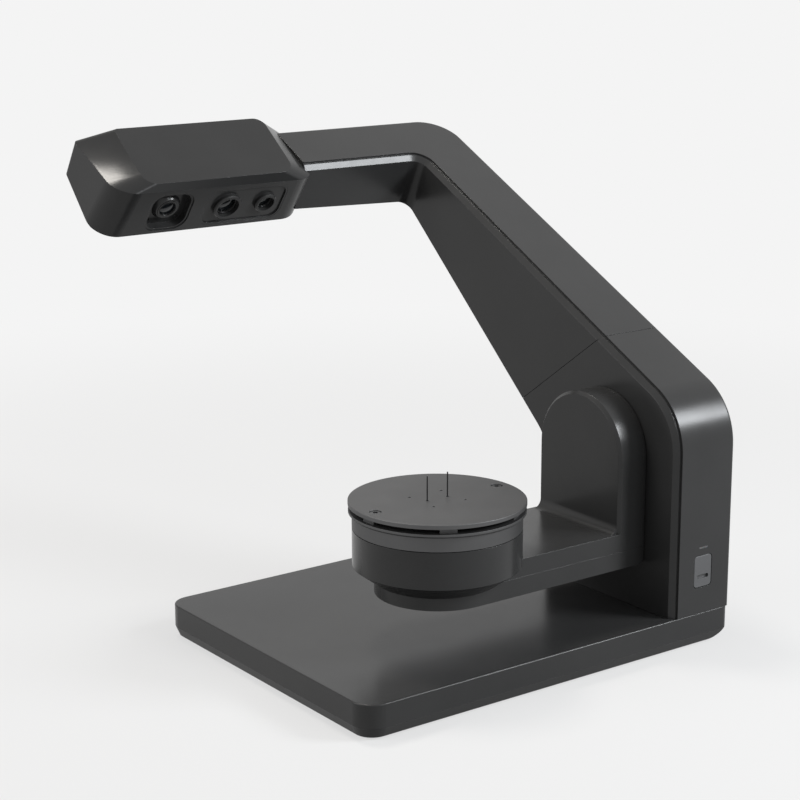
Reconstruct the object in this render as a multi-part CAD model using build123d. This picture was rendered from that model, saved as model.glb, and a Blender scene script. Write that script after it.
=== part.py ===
from build123d import *
import os
from math import cos, pi, radians, sin, tan

# Desktop 3D scanner: a flat base, a column that leans back into an arm and a cross beam, a bevelled
# scan head at the end of the beam, and an L-shaped swing arm that carries a small turntable.
# Millimetres. +X right, +Y to the back, +Z up. The origin is the middle of the footprint, on the floor.

# ---------------------------------------------------------------- driving dimensions
# base
base_length = 260.0          # X
base_depth = 203.0           # Y
base_top = 20.0              # height of the deck above the floor
foot_height = 1.0            # the rubber feet stand this far out of the tray
tray_top = 6.7               # parting line between tray and deck
tray_inset = 2.5             # the tray draws in this much at its lower edge
base_corner = 12.5           # plan radius of the two free corners
column_corner = 4.0          # plan radius of the two corners beside the column
base_keel_radius = 13.0      # rounding of the right lower edge, along Y
wall = 2.5                   # thickness of the large housings
deck_edge = 0.8              # rounding of the deck's upper edge
cable_way_margin = 12.0      # the way for cables lies this far inside the column's two faces
cable_way_end = 20.0         # and this far inside its front and rear faces

# what the base holds
ballast_height = 8.0
ballast_left_margin = 18.0   # from the base's left end
ballast_side_margin = 17.5   # from its front and rear
ballast_to_column = 7.0
foot_radius = 8.0
foot_sink = 1.0              # the feet lie this deep in the tray
foot_chamfer = 0.4
foot_left_inset = 22.0       # middle of a foot from the left end
foot_right_inset = 26.0
foot_side_inset = 25.0
boss_radius = 3.6
boss_gap = 3.0               # a deck boss ends this far above the tray's floor, on the tray's post
boss_clearance = 1.0         # round a boss, in the ballast
screw_radius = 1.5
screw_head_radius = 2.6
screw_head_height = 1.8
screw_head_sink = 0.2
screw_tip_gap = 1.0          # between a screw's end and the end of its hole
screw_side_inset = 11.0      # middle of a screw from the base's front and rear
screw_left_inset = 20.0
screw_right_inset = 17.0     # rear right screw
screw_front_inset = 44.0     # front right screw

# column, leaning arm and cross beam
column_width = 45.0          # X, from the side face to the outer face
column_rear = 10.0           # Y of the rear wall
bend_height = 141.4          # where the front face turns into the slope
bend_radius = 40.0
lean = 27.1                  # slope of the arm above the horizontal, degrees
arm_length = 306.4           # along the slope, from the bend to the back of the beam
beam_width = 38.4            # along the slope
arm_tip_draft = 3.1          # the outer face leans in this much at the tip
underside_lean = 42.1        # slope of the arm's underside, degrees
elbow_depth = 35.4           # depth of the arm, square to the slope, at the inner corner
beam_taper = 0.04            # the beam's underside rises this much per millimetre towards its end
rear_bend_radius = 30.0
elbow_radius = 23.0          # outer corner of the elbow
inner_corner_radius = 8.0
edge_bevel = 4.0             # bevel strip along the inner edge
groove_width = 1.1           # shadow gap between the bevel strip and the outer band
groove_depth = 1.3
outer_edge_round = 2.0
seam_height = 175.0          # where the joint of column and arm crosses the band
seam_lean = 35.8             # fall of that joint to the back, degrees
seam_width = 0.3
seam_depth = 0.8
seam_reach = 2.8             # the joint runs this far into the outer face
beam_end_x = -3.0            # the beam's free end, inside the head
footing_height = 8.0         # the hollow of the column runs straight down this far to the deck

# frame inside the housing
frame_gap = 5.5              # from the column's side face to the upright plate
frame_plate_thickness = 4.0
frame_front_margin = 10.0    # from the plate to the column's front face
frame_rear_margin = 8.0      # from the plate to its rear face
frame_shoulder = 16.0        # the plate's front edge turns this far below the bend
frame_turn_s = 24.0          # and follows the slope from here
frame_top_setback = 118.0    # up to this far before the beam
frame_nose = (4.0, 26.0)     # run and fall of its upper end
frame_waist_drop = 10.6      # its rear edge turns this far below the column's rear bend
frame_foot_width = 14.0
frame_foot_thickness = 4.0
shelf_s0 = 60.0              # the plate's shelf under the spine begins here
shelf_thickness = 3.0
shelf_margin = 10.0          # and ends this far before the plate's top
spine_sink = 12.0            # the spine's underside below the band
spine_thickness = 4.0
spine_gap = 3.5              # from the plate to the spine
spine_width = 20.0
spine_s0 = 40.0
spine_margin = 8.0           # from the spine to the beam's front and back
spine_corner_radius = 10.0   # at the elbow
spine_rib_width = 4.0
spine_rib_depth = 10.0
spine_rib_start = 110.0      # from the spine's lower end
spine_rib_end = 26.0         # before its upper end

# scan head
head_setback = 42.15         # the lens face's middle lies this far before the beam's back
head_sink = 20.99            # and this far below the slope's surface
head_tilt = 37.3             # the optical axes look down this much, degrees
head_left = -135.8           # left end at the shoulder
head_left_low = -140.0       # the left end leans out to here at its lower edge
head_right = 4.5
head_depth = 57.5            # along the optical axis, at the shoulder
head_depth_low = 49.5        # the same at the lower edge
head_low = -17.3             # lower edge of the lens face, square to the axis
head_shoulder = 15.9         # where the bevelled cover begins, at the lens face
shoulder_fall = 0.17         # the shoulder falls this much per millimetre of depth
shoulder_rise = 0.009        # and rises this much per millimetre towards the left end
head_top = 21.7              # the flat upper face
cover_left = -117.2          # outline of that flat face
cover_right = -14.5
cover_front = 2.3
cover_back = 50.0
cover_corner = 9.0
cover_back_corner = 7.0      # at the right; the left one is tight
head_corner = 16.0           # plan radius of the front corners
head_back_corner = 9.0
tight_corner = 2.5
least_corner = 0.8           # of the hollow inside the tight corner
head_wall = 2.2
heel_start = 10.0            # the underside is flat to here, then rises to the back
heel_rise = 0.14
shell_overrun = 0.01         # the hollows of shell and cover pass their common plane by this much

# optics in the head: X of each axis
left_lens_x = -96.2
projector_x = -56.5
right_lens_x = -29.5
lens_row = -0.6              # height of the lens row on the face
pocket_width = 29.0          # rounded opening round the left lens
pocket_height = 29.6
pocket_radius = 9.0
pocket_depth = 5.2
pocket_wall = 1.5
pocket_floor = 2.0
pocket_seat_radius = 9.2     # conical seat round the left barrel: its foot
pocket_seat_top = 7.4        # its upper rim
pocket_seat_height = 2.4
insert_sink = 0.6            # the pocket's rim lies this far behind the lens face
panel_width = 57.0           # inset panel round the other two
panel_height = 28.6
panel_radius = 8.0
panel_x = -44.5
panel_depth = 1.0
panel_thickness = 2.0
panel_lip = 1.2
panel_lip_sink = 0.1
collar_height = 2.6
collar_chamfer = 0.7
projector_collar = 18.6      # outer diameters of the two collars
right_collar = 14.6
pocket_screw_x = 9.6         # the pocket's four screws, from the lens axis
pocket_screw_w = 9.8
pocket_screw_radius = 1.3
pocket_recess_radius = 0.6
left_barrel_radius = 6.4
projector_barrel_radius = 7.2
right_barrel_radius = 5.4
left_barrel_sink = 2.5       # a barrel's mouth lies this far behind the lens face
panel_barrel_sink = 0.9
barrel_wall = 1.0
glass_sink = 2.4             # the glass's rear face behind the barrel's mouth
glass_thickness = 1.0
barrel_bore_depth = 7.0
left_bore_radius = 3.8
projector_bore_radius = 4.8
right_bore_radius = 3.0
left_body = (24.0, 20.0, 15.0)       # width, height and depth of the units behind the barrels
projector_unit = (28.0, 17.6, 24.0)
right_body = (22.0, 20.0, 15.0)
body_chamfer = 0.6

# mounting plate and bracket in the head
head_plate_depth = 15.0      # front face of the plate behind the lens face
head_plate_thickness = 3.0
head_plate_left = 14.0       # from the head's left end
head_plate_to_beam = 1.5
head_plate_low = 6.0         # from the head's lower edge
head_plate_top = 4.0         # from the shoulder
head_leg_left = 22.0         # the first leg, from the head's left end
head_leg_middle_x = -76.0
head_leg_to_beam = 9.0
head_leg_half = 3.0
head_leg_gap = 1.3           # between a leg and the head's floor
bracket_width = 11.0
bracket_to_beam = 1.0
bracket_depth = 20.0
bracket_half_height = 9.0
bracket_clearance = 0.2

# swing arm
swing_y = -41.5              # the swing axis lies along X here
swing_z = 111.0
arm_half_width = 35.2
limb_bottom = 48.1
limb_top = 69.1
limb_seam = 58.7
arch_thickness = 20.0
arch_rim_bevel = 1.8
cove = 5.5                   # hollow rounding between limb and arch
cove_root = 0.5              # it reaches this deep into the limb
arm_wall = 2.2
arm_to_column = 0.5          # running gap beside the column
keel_corner = 4.0
arm_frame_gap = 0.3          # between the arm's frame and its back cover
arm_frame_thickness = 3.2
arm_frame_half = 27.0
arm_frame_foot = 3.5         # the frame's foot above the limb's underside
arm_tongue_half = 22.0
arm_rib_length = 26.0
arm_rib_half = 1.5
arm_rib_gap = 1.0

# turntable
table_x = -38.7
plate_diameter = 99.0
plate_thickness = 2.4
plate_edge = 0.35
plate_top = 101.1
lug_height = 2.9             # gap under the plate
lug_width = 9.4
lug_count = 6
lug_inset = 2.6              # from the platter's rim
lug_inner = 4.0              # the lugs begin this far inside the screws' circle
rim_diameter = 98.6
rim_height = 2.2
rim_chamfer = 0.9
platter_wall = 3.0
platter_roof = 3.2
platter_hub_radius = 9.0
platter_web = 1.0            # the hub ends this far below the platter's top
spindle_seat = 0.5           # roof over the spindle's end
drum_diameter = 94.6
drum_seam = 85.1             # running gap between drum and platter
drum_shoulder = 64.1         # where the drum begins to draw in
drum_foot = 55.2
drum_wall = 2.4
drum_foot_wall = 3.4         # the wall where the drum meets the limb
drum_floor = 3.4
running_gap = 0.4
plate_screw_radius = 42.0    # circle of the plate's two screws
plate_screw_head = 3.0       # radii
plate_screw_shank = 1.6
plate_screw_depth = 2.2      # the shank's end below the platter's top
plate_screw_end_gap = 0.2
plate_hole = 1.8
counterbore = 3.4
counterbore_depth = 1.5
screw_sink = 0.3             # the heads lie this far below the plate's top
hex_radius = 1.4
hex_depth = 0.8
pin_spacing = 14.0
pin_radius = 0.4
pin_hole_pitch = 22.0
pin_hole_radius = 0.9
pin_dimple_depth = 1.2
pin_length = 14.0

# swing drive
gear_module = 0.8
gear_backlash = 0.16         # the teeth are this much thinner than half the pitch
pressure_angle = 20.0
addendum = 0.85
dedendum = 1.25
gear_hole_count = 6
swing_gear_teeth = 70
swing_pinion_teeth = 14
swing_gear_width = 6.0
swing_gear_hole_radius = 5.0
swing_gear_hole_circle = 16.5
swing_gear_gap = 1.5         # from the sleeve's end to the gear
swing_shaft_d = 12.0
shaft_overrun = 2.0          # a shaft's end past its gear
hub_radius = 12.0            # shaft hub between swing arm and frame
hub_clearance = 1.0          # round the hub, in the column's side cover
hub_gap = 0.8                # from the hub to the bearing
hub_flange_radius = 20.0
swing_bearing_od = 28.0
swing_bearing_width = 8.0
bearing_land = 3.0           # the spacer ring between the bearings stays this far off the shaft
sleeve_length = 21.5
sleeve_wall = 2.0
sleeve_flange = 3.0          # height and thickness of the sleeve's flange
flange_flat_gap = 0.5        # the flange is cut flat this far from the motor
shaft_fit = 0.05             # radial running clearance of a shaft in its bearing
rotor_fit = 0.3              # radial clearance round a motor shaft
motor_shaft_d = 4.0
swing_motor_side = 28.0
swing_motor_length = 16.5
swing_motor_gap = 0.5        # from the upright plate
swing_motor_chamfer = 2.5
swing_rotor_start = 6.0      # the motor shaft begins this deep in the motor
rotor_end_gap = 0.4
pinion_shaft_overrun = 1.0
motor_bracket_thickness = 1.2
motor_bracket_hole = 9.0
motor_bracket_reach = 5.0    # its posts stand this far outside the motor
motor_bracket_margin = 3.0
motor_bracket_trim = 6.0     # it ends this far below the motor's top
motor_post_radius = 3.0
motor_post_low = 4.0         # the posts' middles, from the motor's lower and upper side
motor_post_high = 10.0

# turntable drive
spin_gear_teeth = 60
spin_pinion_teeth = 12
spin_gear_width = 5.0
spin_gear_z0 = 78.5
spin_gear_hole_radius = 4.2
spin_gear_hole_circle = 14.0
spindle_d = 8.0
spindle_sink = 0.4           # the spindle's end above the drum's floor
spindle_bearing_od = 16.0
spindle_bearing_width = 5.0
tower_wall = 2.6
tower_top = 76.4
spacer_step = 0.5
spacer_clearance = 2.0
spin_motor_d = 22.0
spin_motor_seat = 2.6        # height of the motor's seat above the drum's floor
spin_seat_step = 2.5
spin_motor_top_gap = 2.5     # from the motor to the gear
spin_motor_chamfer = 0.6
spin_rotor_start = 4.0
spin_shaft_overrun = 0.8

# power button and light on the column's front
button_inset = 22.1          # from the outer face
button_z = 45.5
button_width = 13.6
button_height = 18.9
button_radius = 2.2
button_edge = 0.4
button_depth = 4.0
button_gap = 0.3
button_travel = 1.0
button_collar = 1.5          # the collar behind the wall stands out this far all round
button_collar_gap = 0.3
button_collar_depth = 1.0
slot_width = 8.9             # dark slot in the button
slot_low = 4.4               # its two sides below the button's middle
slot_high = 2.0
slot_depth = 1.4
slot_radius = 1.0
stem_radius = 2.0
stem_end = 6.5               # the stem's end behind the front face
light_z = 59.8
light_width = 6.4
light_height = 0.9
guide_core_half = 2.0
guide_core_height = 3.0
guide_tail = 2.0             # the light bar runs this far past the switch's front
switch_side = 6.0
switch_depth = 3.5
switch_gap = 0.2             # left when the button is all the way in
card_thickness = 1.6
card_low = 12.0              # from the button's middle to the card's lower edge
card_top = 5.0               # from the light to its upper edge
card_edge_gap = 0.6
card_tab = 6.0

# ports and board at the column's rear
board_inset = 9.0            # from the outer face to the board's inner face
board_thickness = 1.6
board_z0, board_z1 = 22.0, 66.0
board_front_margin = 18.0
board_rear_gap = 0.5
board_hole_radius = 1.3
post_radius = 3.0
post_end = 0.5               # a post runs this far into the outer wall
post_front_inset = 24.0      # posts, from the column's front and rear faces
post_rear_inset = 16.0
post_z = (26.0, 62.0)
jack_z = 52.0
jack_width, jack_height = 9.0, 11.0
jack_bore_radius = 3.1
jack_bore_depth = 9.0
jack_pin_radius = 1.0
jack_pin_sink = 0.5
usb_z = 34.0
usb_width, usb_height = 7.6, 9.4
usb_mouth_half_width, usb_mouth_half_height = 3.0, 4.0
usb_mouth_depth = 10.0
usb_tongue_half_width, usb_tongue_half_height = 1.2, 2.6
usb_tongue_sink = 1.2
port_length = 14.0
port_proud = 0.4             # the sockets' faces stand out of the rear wall
port_gap = 0.2
port_root = 1.0              # a pin or tongue grows this deep out of its socket's floor


# ---------------------------------------------------------------- derived places
front = -base_depth / 2
right = base_length / 2
side_x = right - column_width             # the column's face beside the swing arm
band_x = side_x + edge_bevel              # inner edge of the outer band
beam_front = arm_length - beam_width      # along the slope
tray_floor = foot_height + wall
frame_top_s = beam_front - frame_top_setback
table_y = swing_y
arch_rear_x = side_x - arm_to_column
arch_face_x = arch_rear_x - arch_thickness
arm_frame_x1 = arch_rear_x - arm_wall - arm_frame_gap
arm_frame_x0 = arm_frame_x1 - arm_frame_thickness
platter_top = plate_top - plate_thickness - lug_height
frame_plate_x0 = side_x + frame_gap
frame_plate_x1 = frame_plate_x0 + frame_plate_thickness
spine_x0 = frame_plate_x1 + spine_gap
spine_x1 = spine_x0 + spine_width
sleeve_radius = swing_bearing_od / 2 + sleeve_wall
sleeve_end_x = frame_plate_x0 + sleeve_length
swing_motor_x0 = frame_plate_x1 + swing_motor_gap
swing_motor_x1 = swing_motor_x0 + swing_motor_length
swing_motor_z = swing_z - gear_module * (swing_gear_teeth + swing_pinion_teeth) / 2
spin_motor_x = table_x - gear_module * (spin_gear_teeth + spin_pinion_teeth) / 2
button_x = right - button_inset
port_board_x = right - board_inset
OVER = 1.0                                # a cutting body runs this far past a face
BIG = 400.0                               # larger than the whole object


def slope_point(s, n):
    """(y, z) of a point s along the slope and n above the band."""
    a = radians(lean)
    return front + s * cos(a) - n * sin(a), bend_height + s * sin(a) + n * cos(a)


lens_y, lens_z = slope_point(arm_length - head_setback, -head_sink)
inner_y, inner_z = slope_point(beam_front, -elbow_depth)          # the underside's inner corner
rear_bend_z = inner_z - (inner_y - column_rear) * tan(radians(underside_lean))

# frame of the slope: local x = X, local y = along the slope, local z = out of the band
slope = Plane(origin=(0, front, bend_height), x_dir=(1, 0, 0),
              z_dir=(0, -sin(radians(lean)), cos(radians(lean))))
# frame of the head: local x = X, local y = along the optical axis, local z = up the lens face
head = Plane(origin=(0, lens_y, lens_z), x_dir=(1, 0, 0),
             z_dir=(0, -sin(radians(head_tilt)), cos(radians(head_tilt))))
# frame of the lens face: local x = X, local y = up the face, local z = out of the head
face = Plane(origin=(0, lens_y, lens_z), x_dir=(1, 0, 0),
             z_dir=(0, -cos(radians(head_tilt)), -sin(radians(head_tilt))))


# ---------------------------------------------------------------- plain solids
def box(x0, x1, y0, y1, z0, z1):
    return Pos((x0 + x1) / 2, (y0 + y1) / 2, (z0 + z1) / 2) * Box(x1 - x0, y1 - y0, z1 - z0)


def rod_x(y, z, radius, x0, x1):
    return Pos((x0 + x1) / 2, y, z) * Rot(0, 90, 0) * Cylinder(radius, x1 - x0)


def rod_y(x, z, radius, y0, y1):
    return Pos(x, (y0 + y1) / 2, z) * Rot(90, 0, 0) * Cylinder(radius, y1 - y0)


def rod_z(x, y, radius, z0, z1):
    return Pos(x, y, (z0 + z1) / 2) * Cylinder(radius, z1 - z0)


def ring_x(outer, inner, x0, x1):
    """A ring on the swing axis."""
    return rod_x(swing_y, swing_z, outer, x0, x1) - rod_x(swing_y, swing_z, inner, x0 - OVER, x1 + OVER)


def ring_z(outer, inner, z0, z1):
    """A ring on the turntable's axis."""
    return rod_z(table_x, table_y, outer, z0, z1) - rod_z(table_x, table_y, inner, z0 - OVER, z1 + OVER)


def one(shape):
    """The largest solid of a cut, as one part."""
    return Part() + max(shape.solids(), key=lambda s: s.volume)


def save(name, *solids):
    shape = solids[0] if len(solids) == 1 else Compound(children=list(solids))
    export_step(shape, f"parts/{name}.step")


def prism_x(points, x0, x1):
    """A closed (y, z) outline drawn out along X."""
    outline = Plane.YZ.offset(x0) * make_face(Polyline(*points, close=True))
    return extrude(outline, x1 - x0, dir=(1, 0, 0))


def round_corner(flat, corner, radius):
    """A flat face with the corner nearest to a point rounded."""
    x, y = corner
    nearest = min(flat.vertices(), key=lambda v: (v.X - x) ** 2 + (v.Y - y) ** 2)
    return fillet(nearest, radius)


# ---------------------------------------------------------------- base
def base_plan(inset):
    """Plan of the base: wide free corners at the left, tight ones beside the column."""
    plan = Rectangle(base_length - 2 * inset, base_depth - 2 * inset)
    free = [v for v in plan.vertices() if v.X < 0]
    plan = fillet(free, base_corner - inset)
    tight = [v for v in plan.vertices() if v.X > right - inset - 0.1]
    return fillet(tight, column_corner - inset / 2)


def keel(inset):
    """What the rounding of the right lower edge takes away."""
    radius = base_keel_radius - inset
    corner_x = right - inset
    corner_z = foot_height + inset
    block = box(corner_x - radius, corner_x + 5, -base_depth, base_depth, corner_z - 5, corner_z + radius)
    return block - rod_y(corner_x - radius, corner_z + radius, radius, -base_depth, base_depth)


def foot_spots():
    left_x, right_x = -right + foot_left_inset, right - foot_right_inset
    y = base_depth / 2 - foot_side_inset
    return [(left_x, -y), (right_x, -y), (left_x, y), (right_x, y)]


def screw_spots():
    left_x, y = -right + screw_left_inset, base_depth / 2 - screw_side_inset
    return [(left_x, -y), (left_x, y), (0, -y), (0, y), (right - screw_right_inset, y),
            (right - screw_front_inset, -y)]


def make_deck():
    deck = Pos(0, 0, tray_top) * extrude(base_plan(0), base_top - tray_top) - keel(0)
    deck = fillet(deck.faces().sort_by(Axis.Z)[-1].outer_wire().edges(), deck_edge)
    hollow = Pos(0, 0, tray_top) * extrude(base_plan(wall), base_top - wall - tray_top) - keel(wall)
    cable_way = box(side_x + cable_way_margin, right - cable_way_margin, front + cable_way_end,
                    column_rear - cable_way_end, base_top - wall - OVER, base_top + OVER)
    return one(deck - hollow - cable_way)


def make_tray():
    lower = Plane.XY.offset(foot_height) * base_plan(tray_inset)
    upper = Plane.XY.offset(tray_top) * base_plan(0)
    tray = loft([lower, upper], ruled=True) - keel(0)
    well = Pos(0, 0, tray_floor) * extrude(base_plan(wall + tray_inset), tray_top - tray_floor) - keel(wall)
    return tray - well


def make_base():
    deck, tray = make_deck(), make_tray()
    ballast_half = base_depth / 2 - ballast_side_margin
    ballast = box(-right + ballast_left_margin, side_x - ballast_to_column, -ballast_half, ballast_half,
                  tray_floor, tray_floor + ballast_height)
    feet, screws = [], []
    for x, y in foot_spots():
        tray -= rod_z(x, y, foot_radius, foot_height - OVER, foot_height + foot_sink)
        pad = rod_z(x, y, foot_radius, 0, foot_height + foot_sink)
        feet.append(chamfer(pad.edges().group_by(Axis.Z)[0], foot_chamfer))
    hole_end = base_top - wall - OVER
    head_top_z = foot_height + screw_head_height
    for x, y in screw_spots():
        boss = rod_z(x, y, boss_radius, tray_floor + boss_gap, base_top - wall)
        hole = rod_z(x, y, screw_radius, foot_height - OVER, hole_end)
        head_hole = rod_z(x, y, screw_head_radius, foot_height - OVER, head_top_z)
        post = rod_z(x, y, boss_radius, tray_floor, tray_floor + boss_gap)
        ballast -= rod_z(x, y, boss_radius + boss_clearance, 0, base_top)
        deck = deck + boss - hole
        tray = tray + post - hole - head_hole
        screws.append(rod_z(x, y, screw_head_radius, foot_height + screw_head_sink, head_top_z)
                      + rod_z(x, y, screw_radius, head_top_z, hole_end - screw_tip_gap))
    save("base_deck_shell", one(deck))
    save("base_bottom_tray", one(tray))
    save("ballast_plate", one(ballast))
    save("rubber_feet", *feet)
    save("base_screws", *screws)


# ---------------------------------------------------------------- column, arm and beam housing
def side_profile(inset=0.0, drop=0.0):
    """The outline seen from the side: column, slope, back of the beam and underside."""
    tip_depth = elbow_depth - beam_width * tan(radians(underside_lean - lean))
    bend, rear_bend = (front, bend_height), (column_rear, rear_bend_z)
    outline = [(front, base_top), bend, slope_point(arm_length, 0), slope_point(arm_length, -tip_depth),
               rear_bend, (column_rear, base_top)]
    flat = make_face(Polyline(*outline, close=True))
    flat = round_corner(flat, bend, bend_radius)
    flat = round_corner(flat, rear_bend, rear_bend_radius)
    if inset:
        flat = offset(flat, -inset, kind=Kind.INTERSECTION)
        flat += Pos((front + column_rear) / 2, base_top + footing_height / 2) * Rectangle(
            column_rear - front - 2 * inset, footing_height + 2 * drop)
    return flat


def side_prism(inset=0.0, drop=0.0):
    profile = Plane.YZ.offset(-BIG / 2) * side_profile(inset, drop)
    return extrude(profile, BIG, dir=(1, 0, 0))


def plan_prism(inset=0.0, end_x=beam_end_x, outset=0.0):
    """The outline seen square to the slope: column, leaning arm and cross beam, as an L.

    The inner sides move in by inset, the outer ones by inset less outset.
    """
    start = -90.0
    tip = right - arm_tip_draft
    shift = inset - outset
    elbow = (tip - shift, arm_length - shift)
    inner_corner = (side_x + inset, beam_front + inset)
    points = [(side_x + inset, start), (right - shift, start), (right - shift, 0), elbow,
              (end_x, arm_length - shift), (end_x, beam_front + inset), inner_corner]
    plan = make_face(Polyline(*points, close=True))
    plan = round_corner(plan, elbow, elbow_radius - shift)
    plan = round_corner(plan, inner_corner, inner_corner_radius + inset)
    return extrude(slope.offset(-250) * plan, 300, dir=tuple(slope.z_dir))


def beam_underside(inset=0.0):
    """What the rising underside of the beam takes away."""
    rise = tan(radians(underside_lean - lean))
    side = Plane(origin=(side_x, beam_front, inset - elbow_depth), x_dir=(1, 0, -beam_taper),
                 z_dir=(beam_taper, -rise, 1))
    return slope * Location(side) * box(-BIG, 0, -60, BIG, -60, 0)


def beam_outer(reach=0.0):
    """The beam's outer form, to leave room for it in the head."""
    beam = side_prism() & plan_prism(0.0, beam_end_x - reach) & box(-60, 60, 0, BIG, 0, BIG)
    return beam - beam_underside()


def on_band(p):
    """Whether a point lies on the outer surface: front face, bend or slope."""
    a = radians(lean)
    n = -(p.Y - front) * sin(a) + (p.Z - bend_height) * cos(a)
    reach = bend_radius * tan(radians(90 - lean) / 2)
    centre_y, centre_z = front + bend_radius, bend_height - reach
    ring = ((p.Y - centre_y) ** 2 + (p.Z - centre_z) ** 2) ** 0.5
    return abs(p.Y - front) < 0.01 or abs(n) < 0.01 or abs(ring - bend_radius) < 0.01


def past_inner_edge(shift):
    """The space beside the L, up to its inner edges moved in by shift."""
    space = box(-BIG, BIG, -BIG, BIG, -BIG, BIG)
    return space - plan_prism(shift, end_x=-BIG, outset=BIG / 2)


def band_edges(body):
    """The edges of the outer surface: those to bevel at its inner side, those to round at its outer side."""
    inner, outer = [], []
    for edge in body.edges():
        samples = [edge.position_at(t) for t in (0.1, 0.5, 0.9)]
        middle = samples[1]
        if middle.Z < base_top + 0.1 or middle.X < beam_end_x + 0.1 or not all(on_band(p) for p in samples):
            continue
        along = (middle.Y - front) * cos(radians(lean)) + (middle.Z - bend_height) * sin(radians(lean))
        if middle.X < side_x + 3 and along < beam_front + 3:
            inner.append(edge)
        elif middle.X > side_x + 10 or along > arm_length - 1:
            outer.append(edge)
    return inner, outer


def make_housing_skin():
    """Column, arm and beam as one hollow body with its bevel, rounded edges and groove."""
    body = (side_prism() & plan_prism()) - beam_underside()
    inner, outer = band_edges(body)
    body = chamfer(inner, edge_bevel)
    keep = [e for e in body.edges() if any(
        (e.position_at(0.5) - o.position_at(0.5)).length < 0.02 for o in outer)]
    body = fillet(keep, outer_edge_round)
    hollow = (side_prism(wall, drop=10) & plan_prism(wall, beam_end_x - 20)) - beam_underside(wall)
    skin = body - side_prism(groove_depth, drop=10)
    groove = past_inner_edge(edge_bevel) - past_inner_edge(edge_bevel - groove_width)
    return body, body - hollow - (skin & groove)


def port_opening(z, width, height):
    return box(port_board_x - width - port_gap, port_board_x + port_gap, column_rear - wall - OVER,
               column_rear + OVER, z - height / 2 - port_gap, z + height / 2 + port_gap)


def board_posts():
    return [(y, z) for y in (front + post_front_inset, column_rear - post_rear_inset) for z in post_z]


def make_housing():
    body, housing = make_housing_skin()

    # the joint of column and arm is a plane that falls to the back
    seam_y = front + (seam_height - bend_height) / tan(radians(lean))
    seam = Plane(origin=(0, seam_y, seam_height), x_dir=(1, 0, 0),
                 z_dir=(0, sin(radians(seam_lean)), cos(radians(seam_lean))))
    rim = body - side_prism(seam_depth, drop=10)
    flank = body & (box(side_x - OVER, side_x + seam_depth, -BIG, BIG, 0, BIG)
                    + box(right - seam_reach, BIG, -BIG, BIG, 0, BIG))
    housing -= (rim + flank) & (seam * box(-BIG, BIG, -BIG, BIG, -seam_width / 2, seam_width / 2))
    upper = seam * box(-BIG, BIG, -BIG, BIG, 0, BIG)
    cover_side = past_inner_edge(edge_bevel - groove_width / 2)

    column_cover = one((housing & cover_side) - upper)
    column_cover -= rod_x(swing_y, swing_z, hub_radius + hub_clearance, side_x - 5, band_x + 5)
    column = one((housing - cover_side) - upper)
    button_hole = RectangleRounded(button_width + 2 * button_gap, button_height + 2 * button_gap,
                                   button_radius + button_gap)
    column -= extrude(Plane.XZ.offset(-front + 5) * Pos(button_x, button_z) * button_hole, -5 - wall - OVER)
    column -= box(button_x - light_width / 2, button_x + light_width / 2, front - OVER, front + wall + OVER,
                  light_z - light_height / 2, light_z + light_height / 2)
    column -= port_opening(jack_z, jack_width, jack_height)
    column -= port_opening(usb_z, usb_width, usb_height)
    for y, z in board_posts():
        column += rod_x(y, z, post_radius, port_board_x + board_thickness, right - wall + post_end)
    save("column_side_cover", one(column_cover))
    save("column_outer_shell", one(column))
    save("arm_outer_shell", one((housing - cover_side) & upper))
    save("arm_side_cover", one((housing & cover_side) & upper))


# ---------------------------------------------------------------- frame inside the housing
def make_frame_plate():
    """The upright plate: its upper edge carries the spine, its foot stands on the deck."""
    y_low, y_high = front + frame_front_margin, column_rear - frame_rear_margin
    corner = slope_point(frame_top_s, -spine_sink)
    nose = (corner[0] + frame_nose[0], corner[1] - frame_nose[1])
    outline = [(y_low, base_top), (y_low, bend_height - frame_shoulder), slope_point(frame_turn_s, -spine_sink),
               corner, nose, (y_high, rear_bend_z - frame_waist_drop), (y_high, base_top)]
    plate = prism_x(outline, frame_plate_x0, frame_plate_x1)
    plate += box(frame_plate_x1, frame_plate_x1 + frame_foot_width, y_low, y_high, base_top,
                 base_top + frame_foot_thickness)
    plate -= rod_x(swing_y, swing_z, sleeve_radius, frame_plate_x0 - OVER, frame_plate_x1 + OVER)
    plate += slope * box(frame_plate_x0, spine_x1, shelf_s0, frame_top_s - shelf_margin,
                         -spine_sink - shelf_thickness, -spine_sink)
    save("column_frame_plate", one(plate))


def make_spine():
    s0, s1 = beam_front + spine_margin, arm_length - spine_margin
    tip_x = beam_end_x - OVER
    outline = [(spine_x0, spine_s0), (spine_x1, spine_s0), (spine_x1, s1), (tip_x, s1), (tip_x, s0),
               (spine_x0, s0)]
    flat = round_corner(make_face(Polyline(*outline, close=True)), (spine_x1, s1), spine_corner_radius)
    spine = extrude(slope.offset(-spine_sink) * flat, spine_thickness, dir=tuple(slope.z_dir))
    spine += slope * box(spine_x1 - spine_rib_width, spine_x1, spine_s0 + spine_rib_start, s1 - spine_rib_end,
                         -spine_sink - spine_rib_depth, -spine_sink)
    save("arm_spine", one(spine))


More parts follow.
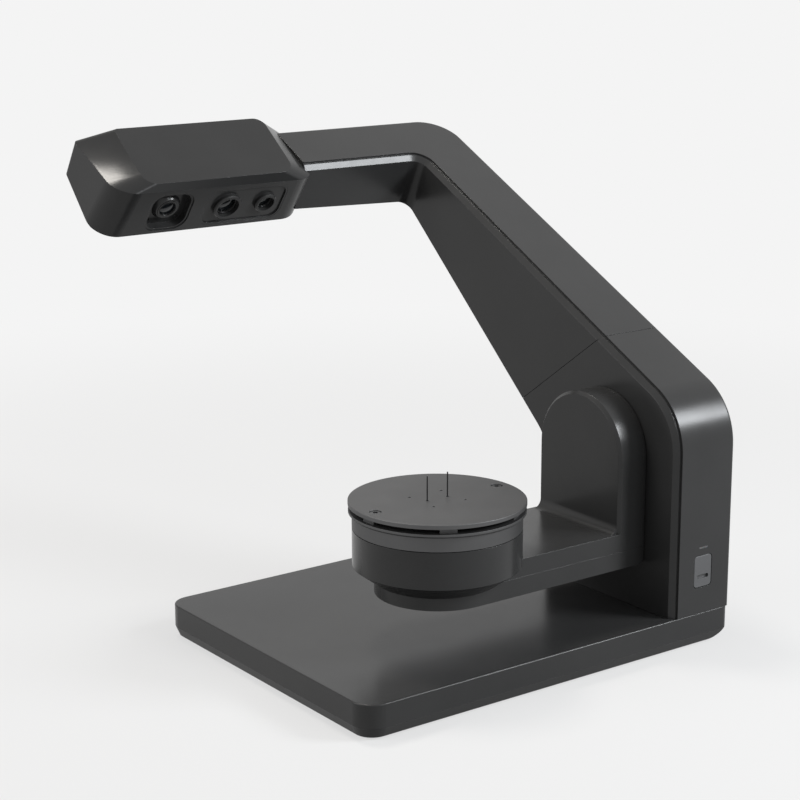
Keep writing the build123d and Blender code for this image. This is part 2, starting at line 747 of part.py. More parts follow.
def make_swing_bearings():
    """A flanged sleeve in the plate, with a bearing at each end."""
    bore = swing_bearing_od / 2
    sleeve = rod_x(swing_y, swing_z, sleeve_radius, frame_plate_x0, sleeve_end_x)
    flange = rod_x(swing_y, swing_z, sleeve_radius + sleeve_flange, frame_plate_x1,
                   frame_plate_x1 + sleeve_flange)
    sleeve += flange - box(-BIG, BIG, -BIG, BIG, 0, swing_motor_z + swing_motor_side / 2 + flange_flat_gap)
    sleeve -= rod_x(swing_y, swing_z, bore, frame_plate_x0 - OVER, sleeve_end_x + OVER)
    rear_x = sleeve_end_x - swing_bearing_width
    sleeve += ring_x(bore, swing_shaft_d / 2 + bearing_land, frame_plate_x0 + swing_bearing_width, rear_x)
    save("swing_bearing_housing", one(sleeve))
    save("swing_bearings", *[ring_x(bore, swing_shaft_d / 2 + shaft_fit, x, x + swing_bearing_width)
                             for x in (frame_plate_x0, rear_x)])


# ---------------------------------------------------------------- gears
def gear_outline(teeth, phase=0.0):
    """A spur gear in the XY plane: straight-flanked teeth that narrow towards the tip."""
    pitch = gear_module * teeth / 2
    root, tip = pitch - dedendum * gear_module, pitch + addendum * gear_module
    half = pi / (2 * teeth) - gear_backlash / (2 * pitch)
    narrowing = tan(radians(pressure_angle)) / pitch
    root_half = half + narrowing * (pitch - root)
    tip_half = half - narrowing * (tip - pitch)
    points = []
    for i in range(teeth):
        middle = phase + 2 * pi * i / teeth
        for radius, angle in ((root, -root_half), (tip, -tip_half), (tip, tip_half), (root, root_half)):
            points.append((radius * cos(middle + angle), radius * sin(middle + angle)))
    return make_face(Polyline(*points, close=True))


def make_swing_gears():
    gear_x0 = sleeve_end_x + swing_gear_gap
    gear_x1 = gear_x0 + swing_gear_width
    # looking along +X: local x = Y, local y = Z; the pinion hangs straight below the gear
    gear_flat = Plane.YZ.offset(gear_x0) * Pos(swing_y, swing_z) * gear_outline(swing_gear_teeth, -pi / 2)
    gear = extrude(gear_flat, swing_gear_width, dir=(1, 0, 0))
    for k in range(gear_hole_count):
        a = 2 * pi * (k + 0.5) / gear_hole_count
        gear -= rod_x(swing_y + swing_gear_hole_circle * cos(a), swing_z + swing_gear_hole_circle * sin(a),
                      swing_gear_hole_radius, gear_x0 - OVER, gear_x1 + OVER)
    gear -= rod_x(swing_y, swing_z, swing_shaft_d / 2, gear_x0 - OVER, gear_x1 + OVER)
    save("swing_gear", one(gear))

    shaft = rod_x(swing_y, swing_z, hub_flange_radius, arm_frame_x1, arch_rear_x)
    shaft += rod_x(swing_y, swing_z, hub_radius, arch_rear_x, frame_plate_x0 - hub_gap)
    shaft += rod_x(swing_y, swing_z, swing_shaft_d / 2, frame_plate_x0 - hub_gap, gear_x1 + shaft_overrun)
    save("swing_shaft", one(shaft))

    pinion_flat = gear_outline(swing_pinion_teeth, pi / 2 + pi / swing_pinion_teeth)
    pinion = extrude(Plane.YZ.offset(gear_x0) * Pos(swing_y, swing_motor_z) * pinion_flat, swing_gear_width,
                     dir=(1, 0, 0))
    pinion += rod_x(swing_y, swing_motor_z, motor_shaft_d / 2, swing_motor_x0 + swing_rotor_start,
                    gear_x1 + pinion_shaft_overrun)
    save("swing_motor_pinion", one(pinion))


def make_swing_motor():
    half, z = swing_motor_side / 2, swing_motor_z
    motor = box(swing_motor_x0, swing_motor_x1, swing_y - half, swing_y + half, z - half, z + half)
    motor = chamfer(motor.edges().filter_by(Axis.X), swing_motor_chamfer)
    motor -= rod_x(swing_y, z, motor_shaft_d / 2 + rotor_fit,
                   swing_motor_x0 + swing_rotor_start - rotor_end_gap, swing_motor_x1 + OVER)
    save("swing_motor", one(motor))

    reach = half + motor_bracket_reach
    edge = reach + motor_bracket_margin
    bracket = box(swing_motor_x1, swing_motor_x1 + motor_bracket_thickness, swing_y - edge, swing_y + edge,
                  z - half, z + half - motor_bracket_trim)
    bracket -= rod_x(swing_y, z, motor_bracket_hole, swing_motor_x1 - OVER, swing_motor_x1 + 3)
    for side in (-1, 1):
        for post in (z - half + motor_post_low, z + half - motor_post_high):
            bracket += rod_x(swing_y + side * reach, post, motor_post_radius, frame_plate_x1, swing_motor_x1)
    save("swing_motor_bracket", one(bracket))


# ---------------------------------------------------------------- electronics in the column
def make_main_board():
    x = port_board_x
    board = box(x, x + board_thickness, front + board_front_margin, column_rear - wall - board_rear_gap,
                board_z0, board_z1)
    for y, z in board_posts():
        board -= rod_x(y, z, board_hole_radius, x - OVER, x + board_thickness + OVER)
    # processor, memory, two connectors and two capacitors
    board += box(x - 2.2, x, front + 43.5, front + 63.5, 32, 52)
    board += box(x - 1.4, x, front + 71.5, front + 81.5, 28, 38)
    board += box(x - 5.5, x, front + 31.5, front + 35.5, 28, 48)
    board += box(x - 5.5, x, front + 71.5, front + 89.5, 56, 60)
    board += rod_x(front + 77.5, 48, 4.0, x - 7, x)
    board += rod_x(front + 87.5, 44, 4.0, x - 7, x)
    save("main_board", one(board))


def make_ports():
    rear_face = column_rear + port_proud
    jack = box(port_board_x - jack_width, port_board_x, column_rear - port_length, rear_face,
               jack_z - jack_height / 2, jack_z + jack_height / 2)
    x, floor_y = port_board_x - jack_width / 2, column_rear - jack_bore_depth
    jack -= rod_y(x, jack_z, jack_bore_radius, floor_y, rear_face + OVER)
    jack += rod_y(x, jack_z, jack_pin_radius, floor_y - port_root, column_rear - jack_pin_sink)
    save("power_inlet", one(jack))

    usb = box(port_board_x - usb_width, port_board_x, column_rear - port_length, rear_face,
              usb_z - usb_height / 2, usb_z + usb_height / 2)
    x, floor_y = port_board_x - usb_width / 2, column_rear - usb_mouth_depth
    usb -= box(x - usb_mouth_half_width, x + usb_mouth_half_width, floor_y, rear_face + OVER,
               usb_z - usb_mouth_half_height, usb_z + usb_mouth_half_height)
    usb += box(x - usb_tongue_half_width, x + usb_tongue_half_width, floor_y - port_root,
               column_rear - usb_tongue_sink, usb_z - usb_tongue_half_height, usb_z + usb_tongue_half_height)
    save("usb_socket", one(usb))


def make_button():
    """A cap with a short stem, a collar behind the wall, its switch and card, and the light bar."""
    flat = RectangleRounded(button_width, button_height, button_radius)
    cap = extrude(Plane.XZ.offset(-front) * Pos(button_x, button_z) * flat, -button_depth)
    cap = fillet(cap.faces().sort_by(Axis.Y)[0].outer_wire().edges(), button_edge)
    slot = box(button_x - slot_width / 2, button_x + slot_width / 2, front - OVER, front + slot_depth,
               button_z - slot_low, button_z - slot_high)
    cap -= fillet(slot.edges().filter_by(Axis.Y), slot_radius)
    cap += rod_y(button_x, button_z, stem_radius, front + button_depth, front + stem_end)
    collar_flat = RectangleRounded(button_width + 2 * button_collar, button_height + 2 * button_collar,
                                   button_radius)
    collar_plane = Plane.XZ.offset(-front - wall - button_collar_gap)
    cap += extrude(collar_plane * Pos(button_x, button_z) * collar_flat, -button_collar_depth)
    save("power_button", one(cap))

    switch_y = front + stem_end + button_travel + switch_gap
    card_y = switch_y + switch_depth
    half = switch_side / 2
    save("power_switch", box(button_x - half, button_x + half, switch_y, card_y, button_z - half,
                             button_z + half))
    edge_x = right - wall - card_edge_gap
    card = box(frame_plate_x1, edge_x, card_y, card_y + card_thickness, button_z - card_low, light_z + card_top)
    card += box(edge_x, right - wall, card_y, card_y + card_thickness, button_z - card_tab,
                button_z + card_tab)
    save("button_board", one(card))
    guide = box(button_x - light_width / 2, button_x + light_width / 2, front, switch_y + guide_tail,
                light_z - light_height / 2, light_z + light_height / 2)
    guide += box(button_x - guide_core_half, button_x + guide_core_half, front + wall, card_y,
                 light_z - guide_core_height / 2, light_z + guide_core_height / 2)
    save("power_light_guide", one(guide))


# ---------------------------------------------------------------- scan head
def rounded_outline(x0, x1, d0, d1, front_radius, back_right, back_left):
    """A four-sided outline with a radius at each corner, in (X, depth)."""
    flat = make_face(Polyline((x0, d0), (x1, d0), (x1, d1), (x0, d1), close=True))
    flat = fillet([v for v in flat.vertices() if v.Y < d0 + 1], front_radius)
    middle = (x0 + x1) / 2
    flat = fillet([v for v in flat.vertices() if v.Y > d1 - 1 and v.X > middle], back_right)
    return fillet([v for v in flat.vertices() if v.Y > d1 - 1 and v.X < middle], back_left)


def shoulder_outline(inset=0.0, drop=0.0):
    """The outline in the slanting plane in which cover and lower shell meet."""
    tilt = Plane(origin=(0, 0, head_shoulder - drop), x_dir=(1, 0, -shoulder_rise),
                 z_dir=(shoulder_rise, shoulder_fall, 1))
    stretch = (1 + shoulder_fall ** 2) ** 0.5
    outline = rounded_outline(head_left + inset, head_right - inset, inset, (head_depth - inset) * stretch,
                              head_corner - inset, head_back_corner - inset,
                              max(tight_corner - inset, least_corner))
    return head * Location(tilt) * outline


def floor_outline(inset=0.0):
    outline = rounded_outline(head_left_low + inset, head_right - inset, inset, head_depth_low - inset,
                              head_corner - inset, head_back_corner - inset,
                              max(tight_corner - inset, least_corner))
    return head.offset(head_low + inset) * outline


def cover_outline(inset=0.0):
    outline = rounded_outline(cover_left + inset, cover_right - inset, cover_front + inset, cover_back - inset,
                              cover_corner - inset, cover_back_corner - inset,
                              max(tight_corner - inset, least_corner))
    return head.offset(head_top - inset) * outline


def heel(inset):
    """What the rising underside takes away from the head."""
    back_depth = head_depth + 5
    a = head_low + inset
    b = a + heel_rise * (back_depth - heel_start)
    outline = [(heel_start, a), (back_depth, b), (back_depth, a - 20), (-5, a - 20), (-5, a)]
    plane = Plane(origin=head.origin, x_dir=tuple(head.y_dir), z_dir=(1, 0, 0)).offset(-BIG / 2)
    return extrude(plane * make_face(Polyline(*outline, close=True)), BIG, dir=(1, 0, 0))


def round_panel(x, width, height, radius, out0, out1):
    """A rounded panel square to the lens face, between two heights above it."""
    flat = face.offset(out0) * Pos(x, lens_row) * RectangleRounded(width, height, radius)
    return extrude(flat, out1 - out0, dir=tuple(face.z_dir))


def barrel(x, radius, out0, out1):
    """A round rod on the optical axis at x, between two heights above the lens face."""
    return face * Pos(x, lens_row, (out0 + out1) / 2) * Cylinder(radius, out1 - out0)


def make_head_shells():
    beam = beam_outer()
    lower = loft([floor_outline(), shoulder_outline()], ruled=True) - heel(0)
    lower -= loft([floor_outline(head_wall), shoulder_outline(head_wall, -shell_overrun)],
                  ruled=True) - heel(head_wall)
    lower -= round_panel(left_lens_x, pocket_width, pocket_height, pocket_radius, -10, 5)
    lower -= round_panel(panel_x, panel_width, panel_height, panel_radius, -10, 5)
    save("head_lower_shell", one(lower - beam))

    cover = loft([shoulder_outline(), cover_outline()], ruled=True)
    cover -= loft([shoulder_outline(head_wall, shell_overrun), cover_outline(head_wall)], ruled=True)
    save("head_top_cover", one(cover - beam))


def make_head_plate():
    """The plate that carries the optics, on three legs, and the block that hangs it on the beam."""
    rear = head_plate_depth + head_plate_thickness
    foot = head_low + head_plate_low
    plate = head * box(head_left + head_plate_left, beam_end_x - head_plate_to_beam, head_plate_depth, rear,
                       foot, head_shoulder - head_plate_top)
    for x, radius in ((left_lens_x, left_barrel_radius), (projector_x, projector_barrel_radius),
                      (right_lens_x, right_barrel_radius)):
        plate -= barrel(x, radius, -30, 5)
    for x in (head_left + head_leg_left, head_leg_middle_x, beam_end_x - head_leg_to_beam):
        plate += head * box(x - head_leg_half, x + head_leg_half, head_plate_depth, rear,
                            head_low + head_wall + head_leg_gap, foot)
    save("head_frame_plate", one(plate))
    end_x = beam_end_x - bracket_to_beam
    bracket = head * box(end_x - bracket_width, end_x, rear, rear + bracket_depth, -bracket_half_height,
                         bracket_half_height)
    save("head_bracket", one(bracket - beam_outer(bracket_clearance)))


def make_left_pocket():
    floor = -pocket_depth
    pocket = round_panel(left_lens_x, pocket_width, pocket_height, pocket_radius, floor - pocket_floor,
                         -insert_sink)
    pocket -= round_panel(left_lens_x, pocket_width - 2 * pocket_wall, pocket_height - 2 * pocket_wall,
                          pocket_radius - pocket_wall, floor, OVER)
    pocket += face * Pos(left_lens_x, lens_row, floor + pocket_seat_height / 2) * Cone(
        pocket_seat_radius, pocket_seat_top, pocket_seat_height)
    pocket -= barrel(left_lens_x, left_barrel_radius, floor - 5, 0)
    screws = []
    for side in (-1, 1):
        for level in (-1, 1):
            spot = face * Pos(left_lens_x + side * pocket_screw_x, lens_row + level * pocket_screw_w, floor)
            pocket -= spot * Pos(0, 0, -OVER) * Cylinder(pocket_screw_radius, 6)
            screws.append(spot * Pos(0, 0, -1.2) * Cylinder(pocket_screw_radius, 1.6)
                          - spot * Pos(0, 0, -0.4) * Cylinder(pocket_recess_radius, 1.0))
    save("left_lens_pocket", one(pocket))
    save("pocket_screws", *screws)


def make_lens_panel():
    panel = round_panel(panel_x, panel_width, panel_height, panel_radius, -panel_depth - panel_thickness,
                        -panel_depth)
    lip = round_panel(panel_x, panel_width, panel_height, panel_radius, -panel_depth, -panel_lip_sink)
    lip -= round_panel(panel_x, panel_width - 2 * panel_lip, panel_height - 2 * panel_lip,
                       panel_radius - panel_lip, -panel_depth - OVER, OVER)
    panel += lip
    outward = Axis((0, 0, 0), tuple(face.z_dir))
    for x, outer, inner in ((projector_x, projector_collar / 2, projector_barrel_radius),
                            (right_lens_x, right_collar / 2, right_barrel_radius)):
        ring = barrel(x, outer, -panel_depth, -panel_depth + collar_height)
        panel += chamfer(ring.edges().sort_by(outward)[-1], collar_chamfer)
        panel -= barrel(x, inner, -panel_depth - 5, 5)
    save("lens_panel", one(panel))


def make_optic(name, x, radius, bore, mouth, body):
    """A barrel with its glass, and the unit behind it; mouth is the barrel's mouth above the lens face."""
    plate_out = -head_plate_depth - head_plate_thickness
    tube = barrel(x, radius, plate_out, mouth)
    tube -= barrel(x, radius - barrel_wall, mouth - glass_sink, 5)
    tube -= barrel(x, bore, mouth - barrel_bore_depth, 5)
    save(f"{name}_barrel", one(tube))
    save(f"{name}_glass", one(barrel(x, radius - barrel_wall, mouth - glass_sink,
                                     mouth - glass_sink + glass_thickness)))
    width, height, depth = body
    case = face * Pos(x, lens_row, plate_out - depth / 2) * Box(width, height, depth)
    save(f"{name}_body", one(chamfer(case.edges().filter_by(GeomType.LINE), body_chamfer)))


def make_head():
    make_head_shells()
    make_head_plate()
    make_left_pocket()
    make_lens_panel()
    make_optic("left_camera", left_lens_x, left_barrel_radius, left_bore_radius, -left_barrel_sink, left_body)
    make_optic("projector", projector_x, projector_barrel_radius, projector_bore_radius, -panel_barrel_sink,
               projector_unit)
    make_optic("right_camera", right_lens_x, right_barrel_radius, right_bore_radius, -panel_barrel_sink,
               right_body)


# ---------------------------------------------------------------- swing arm
def limb(inset, z0, z1):
    """The limb between two heights: straight flanks and a round free end."""
    radius = arm_half_width - inset
    return box(table_x, arch_rear_x - inset, swing_y - radius, swing_y + radius, z0, z1) \
        + rod_z(table_x, swing_y, radius, z0, z1)


def arch(inset, x0, x1):
    radius = arm_half_width - inset
    block = box(x0, x1, swing_y - radius, swing_y + radius, limb_bottom + inset, swing_z)
    return block + rod_x(swing_y, swing_z, radius, x0, x1)


def cove_strip():
    """The hollow rounding between the limb's top and the arch's face."""
    x0, z1 = arch_face_x - cove, limb_top + cove
    half = arm_half_width - arch_rim_bevel
    strip = box(x0, arch_face_x + OVER, swing_y - half, swing_y + half, limb_top - cove_root, z1)
    return strip - rod_y(x0, z1, cove, swing_y - half - OVER, swing_y + half + OVER)


def drum_cone():
    """The drum's lower part, which draws in to the limb's width."""
    height = drum_shoulder - drum_foot
    return Pos(table_x, table_y, drum_foot + height / 2) * Cone(arm_half_width, drum_diameter / 2, height)


def make_swing_arm():
    body = limb(0, limb_bottom, limb_top) + arch(0, arch_face_x, arch_rear_x)
    rim = [e for e in body.edges() if abs(e.center().X - arch_face_x) < 0.01
           and e.center().Z > limb_top + 0.5]
    body = chamfer(rim, arch_rim_bevel) + cove_strip()
    lower_rear = [e for e in body.edges() if abs(e.center().X - arch_rear_x) < 0.01
                  and abs(e.center().Z - limb_bottom) < 0.01]
    body = fillet(lower_rear, keel_corner)

    hollow = limb(arm_wall, limb_bottom + arm_wall, limb_top - arm_wall) \
        + arch(arm_wall, arch_face_x + arm_wall, arch_rear_x - arm_wall)
    drum_room = drum_cone() + rod_z(table_x, table_y, drum_diameter / 2, drum_shoulder, limb_top + 5)
    shell = body - hollow - drum_room
    hub_hole = rod_x(swing_y, swing_z, hub_flange_radius, arm_frame_x1 - OVER, arch_rear_x + OVER)
    back_x = arm_frame_x1 + arm_frame_gap
    rear = box(back_x, BIG, -BIG, BIG, limb_seam, BIG)
    above = box(-BIG, back_x, -BIG, BIG, limb_seam, BIG)
    save("swing_arm_upper_shell", one(shell & above))
    save("swing_arm_lower_shell", one(shell - above - rear))
    save("swing_arm_back_cover", one((shell & rear) - hub_hole))


def make_swing_frame():
    """The plate behind the arch, the tongue under the drum and the rib between them."""
    low = limb_bottom + arm_frame_foot
    plate = box(arm_frame_x0, arm_frame_x1, swing_y - arm_frame_half, swing_y + arm_frame_half, low, swing_z) \
        + rod_x(swing_y, swing_z, arm_frame_half, arm_frame_x0, arm_frame_x1)
    tongue = box(table_x, arm_frame_x1, swing_y - arm_tongue_half, swing_y + arm_tongue_half, low, drum_foot) \
        + rod_z(table_x, swing_y, arm_tongue_half, low, drum_foot)
    rib = box(arch_face_x - arm_rib_length, arm_frame_x0, swing_y - arm_rib_half, swing_y + arm_rib_half,
              drum_foot, limb_top - arm_wall - arm_rib_gap)
    save("swing_arm_frame", one(plate + tongue + rib))


# ---------------------------------------------------------------- turntable
def drum_hollow(floor_top):
    """Room inside the drum's lower part, above its floor."""
    widening = (drum_diameter / 2 - arm_half_width) / (drum_shoulder - drum_foot)
    low = arm_half_width - drum_foot_wall + (floor_top - drum_foot) * widening
    high = drum_diameter / 2 - drum_wall
    height = drum_shoulder - floor_top
    return Pos(table_x, table_y, floor_top + height / 2) * Cone(low, high, height)


def make_drum():
    radius, bearing_radius = drum_diameter / 2, spindle_bearing_od / 2
    floor_top = drum_foot + drum_floor
    motor_seat = floor_top + spin_motor_seat
    upper_bearing = tower_top - spindle_bearing_width
    drum = drum_cone() + rod_z(table_x, table_y, radius, drum_shoulder, drum_seam)
    drum -= rod_z(table_x, table_y, radius - drum_wall, drum_shoulder, drum_seam + OVER)
    drum -= drum_hollow(floor_top)
    drum += rod_z(table_x, table_y, bearing_radius + tower_wall, floor_top - OVER, tower_top)
    drum -= rod_z(table_x, table_y, bearing_radius, floor_top, tower_top + OVER)
    drum += ring_z(bearing_radius + spacer_step, spindle_d / 2 + spacer_clearance,
                   floor_top + spindle_bearing_width, upper_bearing)
    drum += rod_z(spin_motor_x, table_y, spin_motor_d / 2 - spin_seat_step, floor_top - OVER, motor_seat)
    save("turntable_drum", one(drum))
    save("spindle_bearings", *[ring_z(bearing_radius, spindle_d / 2 + shaft_fit, z, z + spindle_bearing_width)
                               for z in (floor_top, upper_bearing)])
    save("turntable_spindle", rod_z(table_x, table_y, spindle_d / 2, floor_top + spindle_sink,
                                    platter_top - spindle_seat))

    motor = rod_z(spin_motor_x, table_y, spin_motor_d / 2, motor_seat, spin_gear_z0 - spin_motor_top_gap)
    motor = chamfer(motor.edges(), spin_motor_chamfer)
    rotor_z = motor_seat + spin_rotor_start
    motor -= rod_z(spin_motor_x, table_y, motor_shaft_d / 2 + rotor_fit, rotor_z - rotor_end_gap, spin_gear_z0)
    save("turntable_motor", one(motor))
    pinion_flat = gear_outline(spin_pinion_teeth, pi / spin_pinion_teeth)
    pinion = Pos(spin_motor_x, table_y, spin_gear_z0) * extrude(pinion_flat, spin_gear_width)
    pinion += rod_z(spin_motor_x, table_y, motor_shaft_d / 2, rotor_z,
                    spin_gear_z0 + spin_gear_width + spin_shaft_overrun)
    save("turntable_motor_pinion", one(pinion))


def make_spin_gear():
    """The gear under the platter; its pinion lies at its far left."""
    gear_top = spin_gear_z0 + spin_gear_width
    gear = Pos(table_x, table_y, spin_gear_z0) * extrude(gear_outline(spin_gear_teeth, pi), spin_gear_width)
    for k in range(gear_hole_count):
        a = 2 * pi * k / gear_hole_count
        gear -= rod_z(table_x + spin_gear_hole_circle * cos(a), table_y + spin_gear_hole_circle * sin(a),
                      spin_gear_hole_radius, spin_gear_z0 - OVER, gear_top + OVER)
    gear -= rod_z(table_x, table_y, spindle_d / 2, spin_gear_z0 - OVER, gear_top + OVER)
    save("turntable_gear", one(gear))


def make_platter():
    radius, low = drum_diameter / 2, drum_seam + running_gap
    rim_low = platter_top - rim_height
    platter = rod_z(table_x, table_y, radius, low, rim_low)
    platter += rod_z(table_x, table_y, rim_diameter / 2, rim_low, platter_top)
    rim_edges = [e for e in platter.edges() if abs(e.center().Z - rim_low) < 0.01
                 and e.length > pi * rim_diameter - 1]
    platter = chamfer(rim_edges, rim_chamfer)
    platter -= rod_z(table_x, table_y, radius - platter_wall, low - OVER, platter_top - platter_roof)
    platter += rod_z(table_x, table_y, platter_hub_radius, spin_gear_z0 + spin_gear_width,
                     platter_top - platter_web)
    platter -= rod_z(table_x, table_y, spindle_d / 2, low - 3, platter_top - spindle_seat)
    for k in range(lug_count):
        lug = box(plate_screw_radius - lug_inner, rim_diameter / 2 - lug_inset, -lug_width / 2, lug_width / 2,
                  platter_top - 0.5, platter_top + lug_height)
        platter += Pos(table_x, table_y, 0) * Rot(0, 0, 360 * k / lug_count) * lug
    shank_end = platter_top - plate_screw_depth
    for side in (-1, 1):
        platter -= rod_z(table_x + side * plate_screw_radius, table_y, plate_screw_shank,
                         shank_end - plate_screw_end_gap, plate_top)
    save("turntable_platter", one(platter))


def make_fixture_plate():
    """The plate with its two screws, four pin holes and the two pins that stand in it."""
    below, above = plate_top - plate_thickness - OVER, plate_top + OVER
    plate = rod_z(table_x, table_y, plate_diameter / 2, plate_top - plate_thickness, plate_top)
    plate = fillet(plate.edges().group_by(Axis.Z)[-1], plate_edge)
    screws, pins = [], []
    head_low_z, head_top_z = plate_top - counterbore_depth, plate_top - screw_sink
    for side in (-1, 1):
        x = table_x + side * plate_screw_radius
        plate -= rod_z(x, table_y, plate_hole, below, above)
        plate -= rod_z(x, table_y, counterbore, head_low_z, above)
        screw = rod_z(x, table_y, plate_screw_head, head_low_z, head_top_z)
        screw += rod_z(x, table_y, plate_screw_shank, platter_top - plate_screw_depth, head_low_z)
        recess = Pos(x, table_y, head_top_z - hex_depth) * extrude(RegularPolygon(hex_radius, 6), 2 * hex_depth)
        screws.append(one(screw - recess))
        for level in (-1, 1):
            plate -= rod_z(table_x + side * pin_hole_pitch / 2, table_y + level * pin_hole_pitch / 2,
                           pin_hole_radius, below, above)
        pin_x = table_x + side * pin_spacing / 2
        plate -= rod_z(pin_x, table_y, pin_hole_radius, plate_top - pin_dimple_depth, above)
        plate -= rod_z(pin_x, table_y, pin_radius, below, above)
        pins.append(rod_z(pin_x, table_y, pin_radius, plate_top - plate_thickness, plate_top + pin_length))
    save("fixture_plate", one(plate))
    save("plate_screws", *screws)
    save("support_pins", *pins)


os.makedirs("parts", exist_ok=True)
make_base()
make_housing()
make_frame_plate()
make_spine()
make_swing_bearings()
make_swing_gears()
make_swing_motor()
make_main_board()
make_ports()
make_button()
make_head()
make_swing_arm()
make_swing_frame()
make_drum()
make_spin_gear()
make_platter()
make_fixture_plate()
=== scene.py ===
"""Desktop 3D scanner: finishes, lenses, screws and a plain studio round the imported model."""

from math import cos, pi, radians, sin, tau
from typing import NamedTuple

import bmesh
import bpy
from mathutils import Matrix, Vector


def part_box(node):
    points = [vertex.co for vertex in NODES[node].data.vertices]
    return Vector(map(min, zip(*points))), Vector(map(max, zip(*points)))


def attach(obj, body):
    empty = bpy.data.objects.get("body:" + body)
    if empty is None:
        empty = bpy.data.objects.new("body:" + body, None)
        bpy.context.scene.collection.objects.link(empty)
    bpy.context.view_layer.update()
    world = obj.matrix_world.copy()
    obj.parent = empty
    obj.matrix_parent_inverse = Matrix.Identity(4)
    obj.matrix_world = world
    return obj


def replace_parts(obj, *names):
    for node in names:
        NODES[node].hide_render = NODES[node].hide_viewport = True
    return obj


bl_info = {
    "name": "Desktop 3D scanner",
    "version": (1, 0, 0),
    "blender": (4, 5, 0),
    "location": "View3D > Sidebar > Scanner",
    "description": "Finishes, lenses, screws and studio for a desktop 3D scanner",
    "category": "Object",
}

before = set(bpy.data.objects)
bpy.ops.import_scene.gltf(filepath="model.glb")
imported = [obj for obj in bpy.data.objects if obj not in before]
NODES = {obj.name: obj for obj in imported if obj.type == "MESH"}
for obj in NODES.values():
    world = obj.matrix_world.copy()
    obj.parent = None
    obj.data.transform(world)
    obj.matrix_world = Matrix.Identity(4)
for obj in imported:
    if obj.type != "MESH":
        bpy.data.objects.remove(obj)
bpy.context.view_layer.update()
MM = 0.001


# ------------------------------------------------------------------ node building


class Field:
    """A node's output that can be used in sums."""

    def __init__(self, tree, socket):
        self.tree = tree
        self.socket = socket

    def math(self, operation, *others):
        return self.tree.add("ShaderNodeMath", {"operation": operation}, dict(enumerate((self, *others))))

    def __add__(self, other):
        return self.math("ADD", other)

    __radd__ = __add__

    def __mul__(self, other):
        return self.math("MULTIPLY", other)

    def __sub__(self, other):
        return self.math("SUBTRACT", other)

    def __rsub__(self, other):
        return self.tree.add("ShaderNodeMath", {"operation": "SUBTRACT"}, {0: other, 1: self})

    def __rtruediv__(self, other):
        return self.tree.add("ShaderNodeMath", {"operation": "DIVIDE"}, {0: other, 1: self})

    def out(self, name):
        """Another output of the same node."""
        return Field(self.tree, self.socket.node.outputs[name])


class Tree:
    """A node tree whose nodes are all made by one method."""

    def __init__(self, tree):
        self.tree = tree

    def add(self, kind, settings=None, inputs=None, output=0):
        """A new node: its settings first, then the values or links of its sockets."""
        node = self.tree.nodes.new(kind)
        for key, value in (settings or {}).items():
            setattr(node, key, value)
        for key, value in (inputs or {}).items():
            self.feed(node.inputs[key], value)
        return Field(self, node.outputs[output])

    def feed(self, socket, value):
        if isinstance(value, Field):
            self.tree.links.new(value.socket, socket)
        else:
            socket.default_value = value


class Finish(Tree):
    """A material round one Principled shader."""

    def __init__(self, name):
        self.material = bpy.data.materials.new(name)
        self.material.use_nodes = True
        super().__init__(self.material.node_tree)
        self.shader = self.tree.nodes["Principled BSDF"]
        self.place = self.add("ShaderNodeTexCoord", output="Object")

    def set(self, **sockets):
        """Sockets by name, with underscores for spaces."""
        for name, value in sockets.items():
            self.feed(self.shader.inputs[name.replace("_", " ")], value)

    def noise(self, size_mm, detail=2.0, roughness=0.5):
        """Noise from 0 to 1 whose grain is about size_mm."""
        inputs = {"Vector": self.place, "Scale": 1 / (size_mm * MM), "Detail": detail, "Roughness": roughness}
        return self.add("ShaderNodeTexNoise", None, inputs, "Fac")

    def ramp(self, value, low, high, low_to=0.0, high_to=1.0):
        """value from low..high stretched to low_to..high_to, smoothly and clamped."""
        settings = {"interpolation_type": "SMOOTHSTEP"}
        inputs = {"Value": value, "From Min": low, "From Max": high, "To Min": low_to, "To Max": high_to}
        return self.add("ShaderNodeMapRange", settings, inputs, "Result")

    def tint(self, amount, first, second):
        """A colour between first and second, each a plain colour or a node's output."""
        first, second = (c if isinstance(c, Field) else (*c, 1.0) for c in (first, second))
        return self.add("ShaderNodeMix", {"data_type": "RGBA"}, {"Factor": amount, 6: first, 7: second}, 2)

    def grey(self, value):
        return self.add("ShaderNodeCombineColor", None, dict.fromkeys(range(3), value))

    def rounded(self, radius_mm):
        """The normal with edges rounded off by radius_mm."""
        return self.add("ShaderNodeBevel", {"samples": 6}, {"Radius": radius_mm * MM})

    def bump(self, height, depth_mm, strength, rounding):
        """The rounded normal with the relief of height on it."""
        inputs = {"Height": height, "Distance": depth_mm * MM, "Strength": strength, "Normal": rounding}
        return self.add("ShaderNodeBump", None, inputs)


def scaled(colour, amount):
    return tuple(c * amount for c in colour)


# ------------------------------------------------------------------ settings


